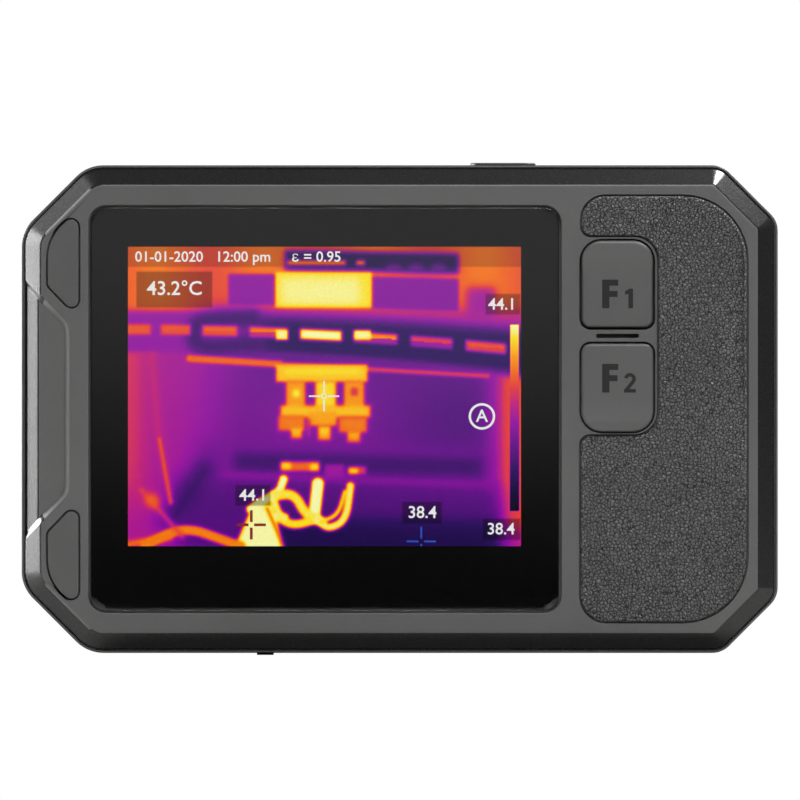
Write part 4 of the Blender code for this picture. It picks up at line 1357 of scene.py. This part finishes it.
def cabinet_heat():
    heat = 0.36 + 0.06 * np.sin(U / 9.0 + 1.0) * np.cos(V / 7.0)
    heat = paint(heat, rise(15.0 - U + 0.08 * V, 9.0), 0.52)
    heat = paint(heat, rise(2.5 - U, 4.0) * rise(V - 8.0, 8.0), 0.64)
    heat = paint(heat, rise(U - 64.5, 4.0) * rise(34.0 - V, 4.0), 0.56)
    clouds = ((66.6, 72.0, 3.0, 32.0, 1.6, 0.68), (54.0, 62.0, 8.0, 12.0, 6.0, 0.42))
    heat = paint_all(heat, block_share, clouds)
    # The warm beam along the top
    heat = paint(heat, rise(V - 41.2 + 0.012 * U, 1.0), 0.72 + 0.04 * np.sin(U / 3.1))
    heat = paint_all(heat, block_share, (
        (15.0, 72.0, 39.5, 43.0, 2.0, 0.02, 0.55), (17.9, 26.4, 42.9, 48.4, 0.46),
        (43.4, 58.8, 42.3, 48.0, 0.5, 0.03, 0.44), (60.3, 65.4, 40.5, 46.0, 1.5, 0.5),
        (28.0, 58.8, 49.2, 52.6, 0.8, 0.02, 0.2), (28.3, 38.8, 50.0, 50.9, 0.82),
        (40.6, 42.2, 50.0, 50.9, 0.82),
        *[(left, left + 2.6, 49.2, 50.3, 0.8, 0.4) for left in (46.0, 50.0, 54.0)],
        (26.2, 43.4, 42.4, 48.8, 0.5, 0.93),
    ))
    heat = paint(heat, 0.8 * block_share(27.4, 41.2, 43.0, 47.6, 1.6), 0.985)
    # The slotted rail
    sag = 0.0007 * U**2
    heat = paint(heat, rise(V - 34.6 + 1.35 * sag, 0.7) * rise(41.9 - 0.8 * sag - V, 1.2), 0.47)
    dark = rise(V - 34.9 + 1.2 * sag, 1.2) * rise(41.0 - 0.8 * sag - V, 1.6) * rise(U - 22.5, 4.0)
    heat = paint(heat, dark, 0.2)
    bend = curve((22.0, 40.6), (11.5, 40.0), (12.0, 35.2), (22.0, 36.0))
    heat = paint(heat, cable_share(bend, 3.0, 1.6), 0.25)
    slots = (
        (-2.0, 4.1, 0.7, 0.7), (5.8, 11.2, 0.7, 0.69), (13.2, 19.5, 0.72, 0.69), (21.6, 28.4, 0.76, 0.6),
        (30.6, 38.1, 1.0, 1.0), (40.2, 48.0, 0.8, 0.52), (50.3, 57.8, 0.66, 0.5), (60.1, 67.3, 0.7, 0.66),
    )
    for left, right, upper, lower in slots:
        middle = 38.6 - 0.0007 * (0.5 * (left + right)) ** 2
        tilt = 0.0014 * 0.5 * (left + right)
        share = block_share(left, right, middle - 0.95, middle + 0.95, 0.5, tilt)
        heat = paint(heat, share, np.where(V + tilt * (U - left) > middle, upper, lower))
    joints = ((26.3, 28.5, 36.7, 38.5, 0.4, 0.98), (40.2, 43.3, 36.7, 38.5, 0.4, 0.98))
    heat = paint_all(heat, block_share, joints)
    # The warm line under the rail, and the breaker that hangs from it
    lines = (([(11.0, 33.4), (27.0, 32.4)], 1.3, 0.74), ([(27.0, 32.4), (64.0, 30.3)], 0.8, 0.66))
    heat = paint_all(heat, cable_share, lines)
    heat = paint(heat, block_share(26.3, 42.7, 29.2, 32.4), 0.88)
    heat = paint(heat, 0.8 * block_share(28.0, 41.5, 30.6, 31.6, 0.8), 0.94)
    heat = paint_all(heat, block_share, (
        (28.1, 31.6, 24.6, 29.4, 0.6, 0.83), (33.3, 37.1, 24.6, 29.4, 0.6, 0.92),
        (38.4, 42.1, 24.6, 29.4, 0.6, 0.82), (27.1, 43.2, 22.9, 25.1, 0.6, 0.88),
        (26.7, 31.5, 20.5, 23.2, 0.6, 0.77), (32.0, 37.2, 21.4, 24.0, 0.6, 0.84),
        (37.5, 42.6, 20.2, 23.0, 0.6, 0.77), (29.0, 31.0, 19.1, 21.0, 0.6, 0.92),
        (33.8, 36.1, 18.8, 21.4, 0.6, 0.92), (39.0, 41.4, 18.4, 20.4, 0.6, 0.9),
        (29.4, 30.5, 26.6, 27.8, 0.6, 0.97), (39.7, 40.9, 26.8, 28.2, 0.6, 0.6),
        (31.9, 32.5, 19.5, 22.6, 0.6, 0.6),
    ))
    # The lower duct, its terminals and the cables below
    heat = paint_all(heat, block_share, (
        (13.0, 64.0, 15.6, 19.0, 2.6, 0.04, 0.4), (19.0, 63.0, 13.4, 16.6, 1.6, 0.02, 0.24),
        (14.0, 66.0, 12.0, 13.4, 1.0, 0.04, 0.48), (9.0, 66.0, -2.0, 11.6, 3.5, 0.03, 0.3),
        (26.0, 66.0, -4.0, 5.0, 3.0, 0.02, 0.14),
    ))
    heat = paint(heat, cable_share([(8.0, 5.0), (13.5, 13.5)], 3.2, 3.0), 0.22)
    heat = paint_all(heat, block_share, (
        (27.2, 34.1, 13.3, 15.1, 0.6, 0.74), (27.2, 29.0, 13.7, 14.9, 0.6, 0.92),
        (32.4, 34.0, 13.5, 14.7, 0.6, 0.92), (39.2, 42.4, 12.8, 14.2, 0.6, 0.66),
        (39.2, 41.0, 12.9, 13.9, 0.6, 0.93), (35.0, 38.6, 12.2, 14.6, 0.6, 0.5),
    ))
    heat = paint_all(heat, cable_share, (
        (curve((27.7, 11.9), (26.9, 9.6), (24.5, 8.4), (21.8, 6.6)), 1.6, 1.0),
        ([(33.8, 11.1), (33.2, 5.8)], 2.3, 1.0),
        (curve((26.0, 9.0), (29.6, 9.4), (31.6, 5.6), (34.4, 4.4)), 1.9, 0.94),
        (curve((26.6, 5.2), (29.4, 3.6), (33.6, 4.8)), 1.7, 0.93),
        (curve((39.6, 10.7), (38.8, 4.6), (35.6, 3.0), (33.8, 4.8)), 1.5, 0.96),
        (curve((38.6, 9.6), (37.4, 5.6), (34.6, 4.4)), 0.9, 0.92),
        (curve((25.8, 8.8), (26.8, 5.8), (28.0, 5.2)), 1.4, 0.95),
    ))
    left_edge, right_edge = 19.0 + 0.42 * V, 27.6 - 0.22 * V
    heat = paint(heat, rise(U - left_edge, 0.6) * rise(right_edge - U, 0.6) * rise(8.0 - V, 1.2), 0.99)
    heat = paint_all(heat, cable_share, (
        (curve((24.8, 6.6), (26.4, 3.0), (27.8, -0.5)), 0.4, 0.7),
        (curve((3.0, 0.2), (10.0, 3.6), (20.0, 0.0)), 1.8, 0.78),
        ([(-1.0, 0.2), (7.5, 1.6)], 1.1, 0.8, 0.76),
        (curve((2.4, 10.0), (5.4, 6.6), (9.6, 1.8)), 0.8, 0.9, 0.66),
    ))
    heat = paint(heat, 0.8 * cable_share([(4.2, 34.0), (5.4, 20.0)], 0.8, 1.2), 0.62)
    last = (([(5.6, 19.0), (7.6, 7.8)], 0.7, 0.6, 0.72), ([(4.2, 8.2), (4.4, 8.0)], 2.4, 1.2, 0.72))
    return paint_all(heat, cable_share, last)


# %% Scale bar and the dark boxes behind the readings
SCALE_LEFT, SCALE_RIGHT, SCALE_LOW, SCALE_HIGH = 68.0, 69.7, 6.4, 39.5
heat_field = cabinet_heat() + random.normal(0.0, 0.006, U.shape)
in_scale = (U > SCALE_LEFT) & (U < SCALE_RIGHT) & (V > SCALE_LOW) & (V < SCALE_HIGH)
heat_field = np.where(in_scale, (V - SCALE_LOW) / (SCALE_HIGH - SCALE_LOW), heat_field)
BOXES = (
    (1.5, 15.0, 42.5, 48.9, 0.42),
    (63.6, 69.8, 41.2, 44.9, 0.42),
    (63.2, 69.8, 1.1, 4.9, 0.4),
    (48.8, 55.9, 4.0, 7.9, 0.4),
    (19.1, 25.4, 7.2, 10.9, 0.42),
    (-1.0, 71.0, 49.7, 55.0, 0.62),
)
shade_field = np.ones(U.shape)
for left, right, low, high, value in BOXES:
    in_box = block_share(left, right, low, high, 0.15)
    shade_field = np.minimum(shade_field, 1.0 + (value - 1.0) * in_box)
print(f"heat runs from {heat_field.min():.2f} to {heat_field.max():.2f}")

# %% The picture's mesh
PICTURE_FRONT = GLASS_BACK + 0.16


def make_picture():
    shell = Shell()
    flat = np.column_stack([(U + PICTURE_LEFT).ravel(), (V + PICTURE_LOW).ravel()])
    grid = shell.ring(flat, PICTURE_FRONT).reshape(ROWS, COLUMNS)
    shell.wall(list(grid), closed=False)
    edge = np.concatenate([grid[0], grid[1:, -1], grid[-1, -2::-1], grid[-2:0:-1, 0]])
    behind = shell.ring(shell.points[edge][:, [0, 2]], PICTURE_FRONT + 0.08)
    shell.wall([edge, behind])
    shell.cap(behind)
    return shell


IRON = [
    (0.0, "#03010C"), (0.1, "#0E0338"), (0.22, "#2E0862"), (0.36, "#66048C"), (0.48, "#9804A4"),
    (0.58, "#C41C7C"), (0.66, "#E63A3A"), (0.74, "#F56A10"), (0.83, "#FF9E05"), (0.93, "#FFE51E"),
    (1.0, "#FBFFB4"),
]


def thermal_display():
    """Liquid crystal behind glass: it gives light, in the colours of the iron palette."""
    material, tree, shader = new_material(
        "thermal_display_light", "#050505", 0.5, Specular_IOR_Level=0.0, Emission_Strength=1.0
    )
    heat = add_node(tree, "Attribute", attribute_name="warmth")
    shade = add_node(tree, "Attribute", attribute_name="shade")
    iron = add_node(tree, "ValToRGB", [("Fac", heat, "Fac")], stops=IRON)
    add_node(
        tree, "Mix", [(6, iron, "Color"), (7, shade, "Color")], {"Factor": 1.0},
        data_type="RGBA", blend_type="MULTIPLY", into=(2, shader, "Emission Color"),
    )
    return material


picture = make_piece("thermal_picture", make_picture(), thermal_display(), slot="lcd_module")
picture_points = vertices(picture)
column = np.rint((picture_points[:, 0] - PICTURE_LEFT) / PICTURE_WIDTH * (COLUMNS - 1)).astype(int)
row = np.rint((picture_points[:, 2] - PICTURE_LOW) / PICTURE_HEIGHT * (ROWS - 1)).astype(int)
store(picture, "warmth", heat_field[row, column])
store(picture, "shade", shade_field[row, column])

# %% [markdown]
# ## Readings over the picture
#
# The numbers, the cross-hairs and the ring are drawn by the camera's own program, so they are
# thin bars and figures that give off their own light, a hair in front of the picture.

# %% Figures and marks
MARK_FRONT = PICTURE_FRONT - 0.03
MARK_THICKNESS = 0.02


def on_picture(path):
    return np.asarray(path, float) + (PICTURE_LEFT, PICTURE_LOW)


def mark(shell, path, width):
    stroke(shell, on_picture(path), width, MARK_FRONT, MARK_THICKNESS)


def figures(shell, text, middle, size):
    """Text as a mesh, laid on the picture with its middle at a place."""
    data = bpy.data.curves.new("figures", "FONT")
    data.body = text
    data.size = size
    data.align_x, data.align_y = "CENTER", "CENTER"
    data.extrude = 0.5 * MARK_THICKNESS
    data.offset = 0.012 * size
    data.resolution_u = 3
    obj = add_object("figures", data)
    bpy.context.view_layer.update()
    mesh = bpy.data.meshes.new_from_object(obj.evaluated_get(bpy.context.evaluated_depsgraph_get()))
    bpy.data.objects.remove(obj, do_unlink=True)
    local = np.zeros(3 * len(mesh.vertices))
    mesh.vertices.foreach_get("co", local)
    local = local.reshape(-1, 3)
    flat = local[:, :2] + on_picture([middle])
    numbers = shell.ring(flat, MARK_FRONT + 0.5 * MARK_THICKNESS - local[:, 2])
    shell.faces += [[int(numbers[i]) for i in face.vertices] for face in mesh.polygons]
    bpy.data.meshes.remove(mesh)


def cross(shell, middle, reach, gap, width):
    x, z = middle
    for dx, dz in ((1, 0), (-1, 0), (0, 1), (0, -1)):
        mark(shell, [(x + dx * gap, z + dz * gap), (x + dx * reach, z + dz * reach)], width)


def glowing(name, code):
    """Light from the display. A weave finer than the eye sees keeps it from being one flat value."""
    material, tree, shader = new_material(name, "#050505", 0.5, Emission_Strength=1.0)
    spot = add_node(tree, "TexCoord")
    weave = add_node(tree, "TexNoise", [("Vector", spot, "Object")], {"Scale": 3000.0})
    tone = add_node(tree, "ValToRGB", [("Fac", weave, "Fac")], stops=[(0.0, "#E8E8E8"), (1.0, "#FFFFFF")])
    add_node(
        tree, "Mix", [(6, tone, "Color")], {"Factor": 1.0, 7: colour(code)},
        data_type="RGBA", blend_type="MULTIPLY", into=(2, shader, "Emission Color"),
    )
    return material


# %% Put the readings on
white, red, blue = Shell(), Shell(), Shell()
figures(white, "01-01-2020   12:00 pm     ε = 0.95", (19.6, 51.45), 2.62)
for text, middle, size in (
    ("43.2°C", (8.3, 45.8), 3.5),
    ("44.1", (66.6, 43.0), 2.9),
    ("38.4", (66.4, 3.0), 2.9),
    ("38.4", (52.4, 5.95), 3.0),
    ("44.1", (22.3, 9.0), 2.9),
    ("A", (63.0, 23.1), 3.1),
):
    figures(white, text, middle, size)
cross(white, (34.9, 26.7), 2.7, 0.65, 0.28)
mark(white, arc((63.0, 23.1), 2.15, 0.0, 360.0, 40), 0.42)
mark(white, arc((34.9, 26.7), 0.42, 0.0, 360.0, 20), 0.2)
cross(red, (21.95, 3.8), 2.6, 0.5, 0.5)
cross(blue, (52.2, 0.85), 2.6, 0.5, 0.3)
for name, shell, code in (
    ("reading_white", white, "#F4F4F4"), ("reading_red", red, "#8C1A08"), ("reading_blue", blue, "#1450C8")
):
    make_piece(name, shell, glowing(name + "_light", code), slot="lcd_module")

# %% [markdown]
# ## The lens side
#
# The infrared lens is germanium, a metal-like crystal that lets heat through and looks like a
# dark mirror. Its coating gives it a cool sheen in the middle and a redder one at the rim. It
# sits in a black anodised barrel with fine steps inside that swallow stray light.

# %% Turned pieces
def lathe(centre, profile, axis="Y", count=96, ring=False):
    """A profile turned round an axis: every row is a circle, and a ring joins its last row to its first.

    A row with no radius is one point, a pole that the next circle closes on.
    """
    shell = Shell()
    rings = []
    for radius, along in profile:
        if radius > 0.001:
            rings.append(shell.ring(circle(centre, radius, count), along, axis))
        else:
            rings.append(shell.ring(np.array([centre], float), along, axis))
    if ring:
        rings.append(rings[0])
    for first, second in zip(rings[:-1], rings[1:]):
        if len(first) == len(second):
            shell.wall([first, second])
        else:
            pole, loop = (first, second) if len(first) == 1 else (second, first)
            following = np.roll(loop, -1)
            shell.faces += [[int(pole[0]), int(a), int(b)] for a, b in zip(loop, following)]
    return shell


def loop_soft(points, radius):
    """Rounds every corner of a closed profile."""
    points = np.asarray(points, float)
    around = np.vstack([points[-1:], points, points[:1]])
    return soft(around, radius, 4)[1:-1]


# %% Finishes for the lens side
def black_anodised():
    """Turned and anodised aluminium: dark, with hair-fine rings that stretch the highlight."""
    material, tree, shader = new_material("black_anodised_aluminium", "#3A3A3C", 0.38, Metallic=0.85)
    spot = add_node(tree, "TexCoord")
    lens_middle = (-LENS[0] * MM, 0.0, -(LENS[1] * MM + MIDDLE_UP))
    centre = add_node(tree, "Mapping", [("Vector", spot, "Object")], {"Location": lens_middle})
    marks = add_node(
        tree, "TexWave", [("Vector", centre, "Vector")], {"Scale": 900.0, "Distortion": 0.6},
        wave_type="RINGS", rings_direction="Y",
    )
    stops = [(0.2, "#2E2E30"), (0.8, "#444446")]
    add_node(tree, "ValToRGB", [("Fac", marks, "Fac")], stops=stops, into=("Color", shader, "Base Color"))
    relief = {"Strength": 0.25, "Distance": 0.01 * MM}
    add_node(tree, "Bump", [("Height", marks, "Fac")], relief, into=("Normal", shader, "Normal"))
    return material


# The germanium's coating shifts from plum in the middle to amber at the rim.
anodised = black_anodised()
germanium = one_noise("coated_germanium", "#4A3C48", 0.06, 700.0, 3.0, rub=(0.04, 0.12), Metallic=1.0)
lens_tree = germanium.node_tree
add_node(
    lens_tree, "ValToRGB", [("Fac", add_node(lens_tree, "LayerWeight", inputs={"Blend": 0.45}), "Facing")],
    stops=[(0.0, "#3B3348"), (0.45, "#6B4A4E"), (0.85, "#A8774E")],
    into=("Color", lens_tree.nodes["Principled BSDF"], "Base Color"),
)
panel_gloss = one_noise(
    "gloss_black_plastic", "#0C0C0D", 0.12, 350.0, 1.0, ("#0A0A0B", "#101012"), bump=(0.15, 0.02)
)
CLEAR = {"rub": (0.01, 0.08), "IOR": 1.49, "Transmission_Weight": 1.0}
acrylic = one_noise("clear_acrylic", "#E8ECF0", 0.03, 400.0, 2.0, **CLEAR)
torch_acrylic = one_noise("torch_acrylic", "#FFFFFF", 0.03, 400.0, 2.0, **CLEAR)

# %% Lens ring, barrel, retainer and front lens
BACK = node_box("lens_ring")[1][1]
ring_profile = loop_soft(
    [(7.7, 10.1), (9.9, 10.1), (9.9, 11.5), (9.4, BACK), (8.4, BACK), (7.7, 11.5)], 0.16
)
make_piece(
    "lens_trim_ring", lathe(LENS, ring_profile, ring=True), anodised,
    slot="black_aluminium", replaces=["lens_ring"],
)
STEPS = 9
step_depths = np.linspace(11.1, 7.8, STEPS)
baffle = [(5.8 + 0.14 * (i % 2), depth) for i, depth in enumerate(step_depths)]
barrel_profile = [(4.0, 5.7), (7.3, 5.7), (7.3, 11.05), (7.15, 11.2), (5.95, 11.2)]
barrel_profile += [*baffle, (5.8, 7.6), (4.0, 7.6)]
FLANGE_HALF, FLANGE_SCREWS = 11.4, 9.6


def make_barrel():
    """The turned tube, and the square flange that it is screwed down by."""
    tube = lathe(LENS, barrel_profile, ring=True)
    x, z = LENS
    square = rectangle(x - FLANGE_HALF, x + FLANGE_HALF, z - FLANGE_HALF, z + FLANGE_HALF, 1.5)
    outside = tube.carry(square, soft([(-1.0, 5.8), (0.0, 5.8), (0.0, 6.9), (-1.0, 6.9)], 0.15))
    bore = tube.turn(LENS, [(7.3, 5.8), (7.3, 6.9)], count=96)
    spots = [(x + side * FLANGE_SCREWS, z + FLANGE_SCREWS) for side in (1, -1)]
    holes = [tube.turn(spot, [(0.9, 5.8), (0.9, 6.9)], count=24) for spot in spots]
    tube.fill(outside[0], bore[0], *[hole[0] for hole in holes])
    tube.fill(outside[-1], bore[-1], *[hole[-1] for hole in holes])
    return tube


make_piece("lens_tube", make_barrel(), anodised, slot="black_aluminium", replaces=["lens_barrel"])
retainer_profile = loop_soft([(4.9, 10.5), (5.5, 9.95), (5.5, 11.4), (4.9, 11.0)], 0.08)
make_piece(
    "lens_retaining_ring", lathe(LENS, retainer_profile, ring=True), anodised,
    slot="black_aluminium", replaces=["lens_retainer"],
)


def dome(radius, edge_depth, top_depth, rows=16):
    """Rows of a spherical cap: depth falls with the square of the radius."""
    r = np.linspace(radius, 0.0, rows)
    return [(float(a), top_depth + (edge_depth - top_depth) * float(a / radius) ** 2) for a in r]


lens_profile = [(0.0, 8.5), (3.0, 8.3), (5.5, 7.9), *dome(5.5, 9.6, 10.45)]
make_piece(
    "infrared_lens", lathe(LENS, lens_profile), germanium,
    slot="germanium", replaces=["germanium_front_lens"],
)

# %% [markdown]
# The glossy panel ties the three openings together. The plain camera looks out through a clear
# window, and the torch's lens has fine steps like a lighthouse lens, which spread its beam.

# %% Lens panel
PANEL_BACK, PANEL_FRONT = node_box("lens_panel")[0][1], node_box("lens_panel")[1][1]


def make_lens_panel():
    shell = Shell()
    side = [(-0.8, PANEL_BACK), (0.0, PANEL_BACK), (0.0, PANEL_FRONT), (-0.8, PANEL_FRONT)]
    rim = shell.carry(PANEL_OUTLINE, soft(side, [0.05, 0.35], 6))
    holes = []
    for spot, radius, count in ((LENS, 10.2, 96), (CAMERA_EYE, 3.0, 48), (TORCH, 3.0, 48)):
        lip = soft([(radius, PANEL_BACK), (radius, PANEL_FRONT), (radius + 0.4, PANEL_FRONT)], 0.2)
        holes.append(shell.turn(spot, lip, count=count))
    shell.fill(rim[0], *[hole[0] for hole in holes])
    shell.fill(rim[-1], *[hole[-1] for hole in holes])
    return shell


make_piece("gloss_panel", make_lens_panel(), panel_gloss, slot="panel_plastic", replaces=["lens_panel"])
window_rows = soft([(0.0, 9.9), (2.7, 9.9), (2.7, 10.9), (0.0, 10.9)], [0.1, 0.2])
make_piece(
    "eye_window", lathe(CAMERA_EYE, window_rows, count=64), acrylic,
    slot="window_glass", replaces=["camera_window"],
)
eye_rows = [(0.0, 4.4), (4.2, 4.4), (4.2, 7.4), (2.8, 7.4), (2.8, 9.6), (2.3, 9.6)]
eye_rows += [(1.6, 9.1), (1.6, 8.8), (0.9, 9.05), (0.0, 9.15)]
make_piece(
    "camera_eye", lathe(CAMERA_EYE, soft(eye_rows, 0.1), count=64), panel_gloss,
    slot="black_plastic", replaces=["visible_camera"],
)
STEP_RADII = np.linspace(0.5, 2.3, 5)
fresnel = []
for radius in STEP_RADII:
    fresnel += [(radius, 11.3 - 0.06 * radius), (radius + 0.03, 11.12 - 0.06 * radius)]
torch_rows = [(0.0, 8.6), (2.7, 8.6), (2.7, 10.75), (2.55, 10.95), *reversed(fresnel), (0.0, 11.35)]
make_piece(
    "torch_cap", lathe(TORCH, torch_rows, count=64), torch_acrylic,
    slot="torch_lens_plastic", replaces=["torch_lens"],
)

# %% [markdown]
# ## Power key, port cover and tripod thread
#
# The power key is a soft-edged bar on the top edge. Below, a rubber flap closes the charging
# port, with a lip to pull it by. The brass insert next to it carries a quarter inch thread of
# 20 turns per inch, a ridge whose height depends on how far a point is along one turn.

# %% Power key
power_low, power_high = node_box("power_button")
soft_black = moulded_plastic("soft_black_plastic", "#242424", "#292929", "#1F1F1F", 0.45)


def make_power_key():
    top = power_high[2]
    profile = soft(
        [(-0.8, power_low[2]), (0.9, power_low[2]), (0.9, 40.7), (0.0, 40.7), (0.0, top), (-0.9, top)],
        [0.1, 0.1, 0.1, 0.3],
    )
    shell = Shell()
    rings = shell.carry(POWER_KEY, profile, "Z")
    grooves = []
    for i in range(5):
        x, y = POWER[0] - 3.0 + 1.5 * i, POWER[1]
        groove = rectangle(x - 0.25, x + 0.25, y - 1.1, y + 1.1, 0.2)
        side = [(0.08, top), (0.0, top), (-0.1, top - 0.18), (-0.16, top - 0.18)]
        rows = shell.carry(groove, soft(side, 0.06, 3), "Z")
        shell.cap(rows[-1])
        grooves.append(rows[0])
    shell.fill(rings[-1], *grooves)
    shell.cap(rings[0])
    return shell


make_piece(
    "power_bar", make_power_key(), soft_black,
    body="power_key", slot="black_plastic", replaces=["power_button"],
)


# %% Port cover
def silicone_rubber(name, code, light, dark):
    """Moulded silicone rubber: matt and soft, with dust caught in a fine sheen."""
    return one_noise(name, code, 0.7, 1800.0, 4.0, (dark, light), bump=(0.4, 0.02), Sheen_Weight=0.15)


black_silicone = silicone_rubber("black_silicone", "#1E1E1E", "#232323", "#191919")


def make_port_cover():
    """A plate with a plug on its inner side and a ribbed pull lip on its outer side."""
    shell = Shell()
    outer, inner = BOTTOM, BOTTOM + 1.2
    plate_side = [(-0.5, outer), (0.0, outer), (0.0, inner), (-0.5, inner)]
    plate = shell.carry(COVER, soft(plate_side, [0.25, 0.15]), "Z")
    top, foot = cover_high[2], cover_low[2]
    plug_side = [(0.15, inner), (0.0, inner), (0.0, top), (-0.5, top)]
    plug = shell.carry(bar(PORT, 8.8, 3.0), soft(plug_side, [0.1, 0.3]), "Z")
    lip_shape = rectangle(cover_high[0] - 3.6, cover_high[0] - 0.6, PORT[1] - 2.2, PORT[1] + 2.2, 0.4)
    lip_side = [(0.1, outer), (0.0, outer), (0.0, foot), (-0.3, foot)]
    lip = shell.carry(lip_shape, soft(lip_side, [0.08, 0.12]), "Z")
    shell.fill(plate[0], lip[0])
    shell.fill(plate[-1], plug[0])
    shell.cap(plug[-1])
    shell.cap(lip[-1])
    return shell


make_piece(
    "port_flap_rubber", make_port_cover(), black_silicone,
    body="port_flap", slot="cover_rubber", replaces=["port_cover"],
)

# %% Tripod thread
THREAD_PITCH = 25.4 / 20
THREAD_HEIGHT = 0.55


def make_insert():
    """A tube whose inner wall is r + height x ridge, where ridge depends on height / pitch - turn."""
    shell = Shell()
    insert_low, insert_high = node_box("tripod_insert")
    bottom, top = insert_low[2], insert_high[2]
    count, rows = 64, 84
    turn = np.arange(count) / count
    rings = []
    for z in np.linspace(top, bottom, rows):
        phase = (z / THREAD_PITCH - turn) % 1.0
        ridge = 1.0 - np.abs(2.0 * phase - 1.0)
        fade = min(1.0, (z - bottom) / 0.8, (top - z) / 0.8)
        mouth = 0.5 * (1.0 - min(1.0, (z - bottom) / 0.5))
        radius = 3.2 + THREAD_HEIGHT * np.clip(1.3 * ridge - 0.15, 0.0, 1.0) * fade + mouth
        flat = radius[:, None] * np.column_stack([np.cos(math.tau * turn), np.sin(math.tau * turn)])
        rings.append(shell.ring(flat + TRIPOD, z, "Z"))
    outer = insert_high[0] - TRIPOD[0]
    for radius, z in soft([(4.0, bottom), (outer, bottom), (outer, top), (4.2, top)], [0.1, 0.1]):
        rings.append(shell.ring(circle(TRIPOD, radius, count), z, "Z"))
    rings.append(rings[0])
    shell.wall(rings)
    return shell


brass = one_noise(
    "turned_brass", "#C9A257", 0.3, 600.0, 4.0, ("#B08A45", "#D6B066"), rub=(0.2, 0.42), Metallic=1.0
)
make_piece("thread_insert", make_insert(), brass, slot="brass", replaces=["tripod_insert"])

# %% [markdown]
# ## Inside the case
#
# The solids inside keep their shape, but each gets the finish of its real material: green
# solder mask with copper under it, stamped steel, die-cast aluminium, foil, foam and silicone.
# One function covers them, because they differ only in tones, gloss, and the size of the marks
# left by how each was made.

# %% Finishes for the inner pieces
def worked_finish(name, light, dark, roughness, metallic, mark, stretch=(1.0, 1.0, 1.0)):
    """Two tones mixed by marks of a size in mm, stretched along the way the tool moved."""
    return one_noise(
        name, light, roughness, 1.0 / (mark * MM), 3.0, (dark, light),
        (roughness - 0.08, roughness + 0.1), (0.4, 0.01), stretch, (0.35, 0.65), Metallic=metallic,
    )


BRUSHED, WOVEN = (1.0, 1.0, 0.06), (1.0, 1.0, 0.2)
inner_finishes = {
    "steel": worked_finish("rolled_steel", "#B8B8BA", "#9A9A9D", 0.32, 1.0, 0.5, BRUSHED),
    "aluminium": worked_finish("die_cast_aluminium", "#C4C5C7", "#A9AAAD", 0.42, 1.0, 0.8),
    "black_aluminium": anodised,
    "circuit_board": worked_finish("green_solder_mask", "#1B5A34", "#164B2B", 0.38, 0.0, 1.2, WOVEN),
    "cell": worked_finish("cell_foil", "#B4B6BA", "#A2A4A9", 0.35, 0.8, 2.5),
    "silicone": silicone_rubber("translucent_silicone", "#A8A8A6", "#B2B2B0", "#9C9C9A"),
    "black_plastic": worked_finish("black_moulded_plastic", "#232325", "#1B1B1D", 0.5, 0.0, 0.3),
    "ceramic": worked_finish("alumina_package", "#B9A9A4", "#A39590", 0.3, 0.0, 0.6),
    "germanium": germanium,
    "lcd_module": worked_finish("lcd_polariser", "#141416", "#0E0E10", 0.2, 0.0, 2.0),
    "white_film": worked_finish("white_diffuser_film", "#E9E9E4", "#DADAD5", 0.45, 0.0, 1.5),
    "housing_plastic": shell_plastic,
}

# %% Dress every solid that still shows
slot_of = {row["node"]: row["material_slot"] for row in frame["record"]["subparts"]}
hidden = {name for name, node in frame["nodes"].items() if node.hide_render}
for name, node in frame["nodes"].items():
    if name in hidden:
        continue
    finish = inner_finishes.get(slot_of[name], inner_finishes["black_plastic"])
    node.data.materials.clear()
    node.data.materials.append(finish)
print("solids kept:", len(frame["nodes"]) - len(hidden))

# %% [markdown]
# ## Check the size
#
# The finished model should fill the same box as the solids do, so the shift of its lowest and highest corners
# is printed.

# %% Compare the boxes and finish
new_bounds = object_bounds()
growth = [(new - old) / MM for new, old in zip(new_bounds, cad_bounds)]
print("lowest and highest corner moved by", [tuple(round(x, 2) for x in g) for g in growth], "mm")
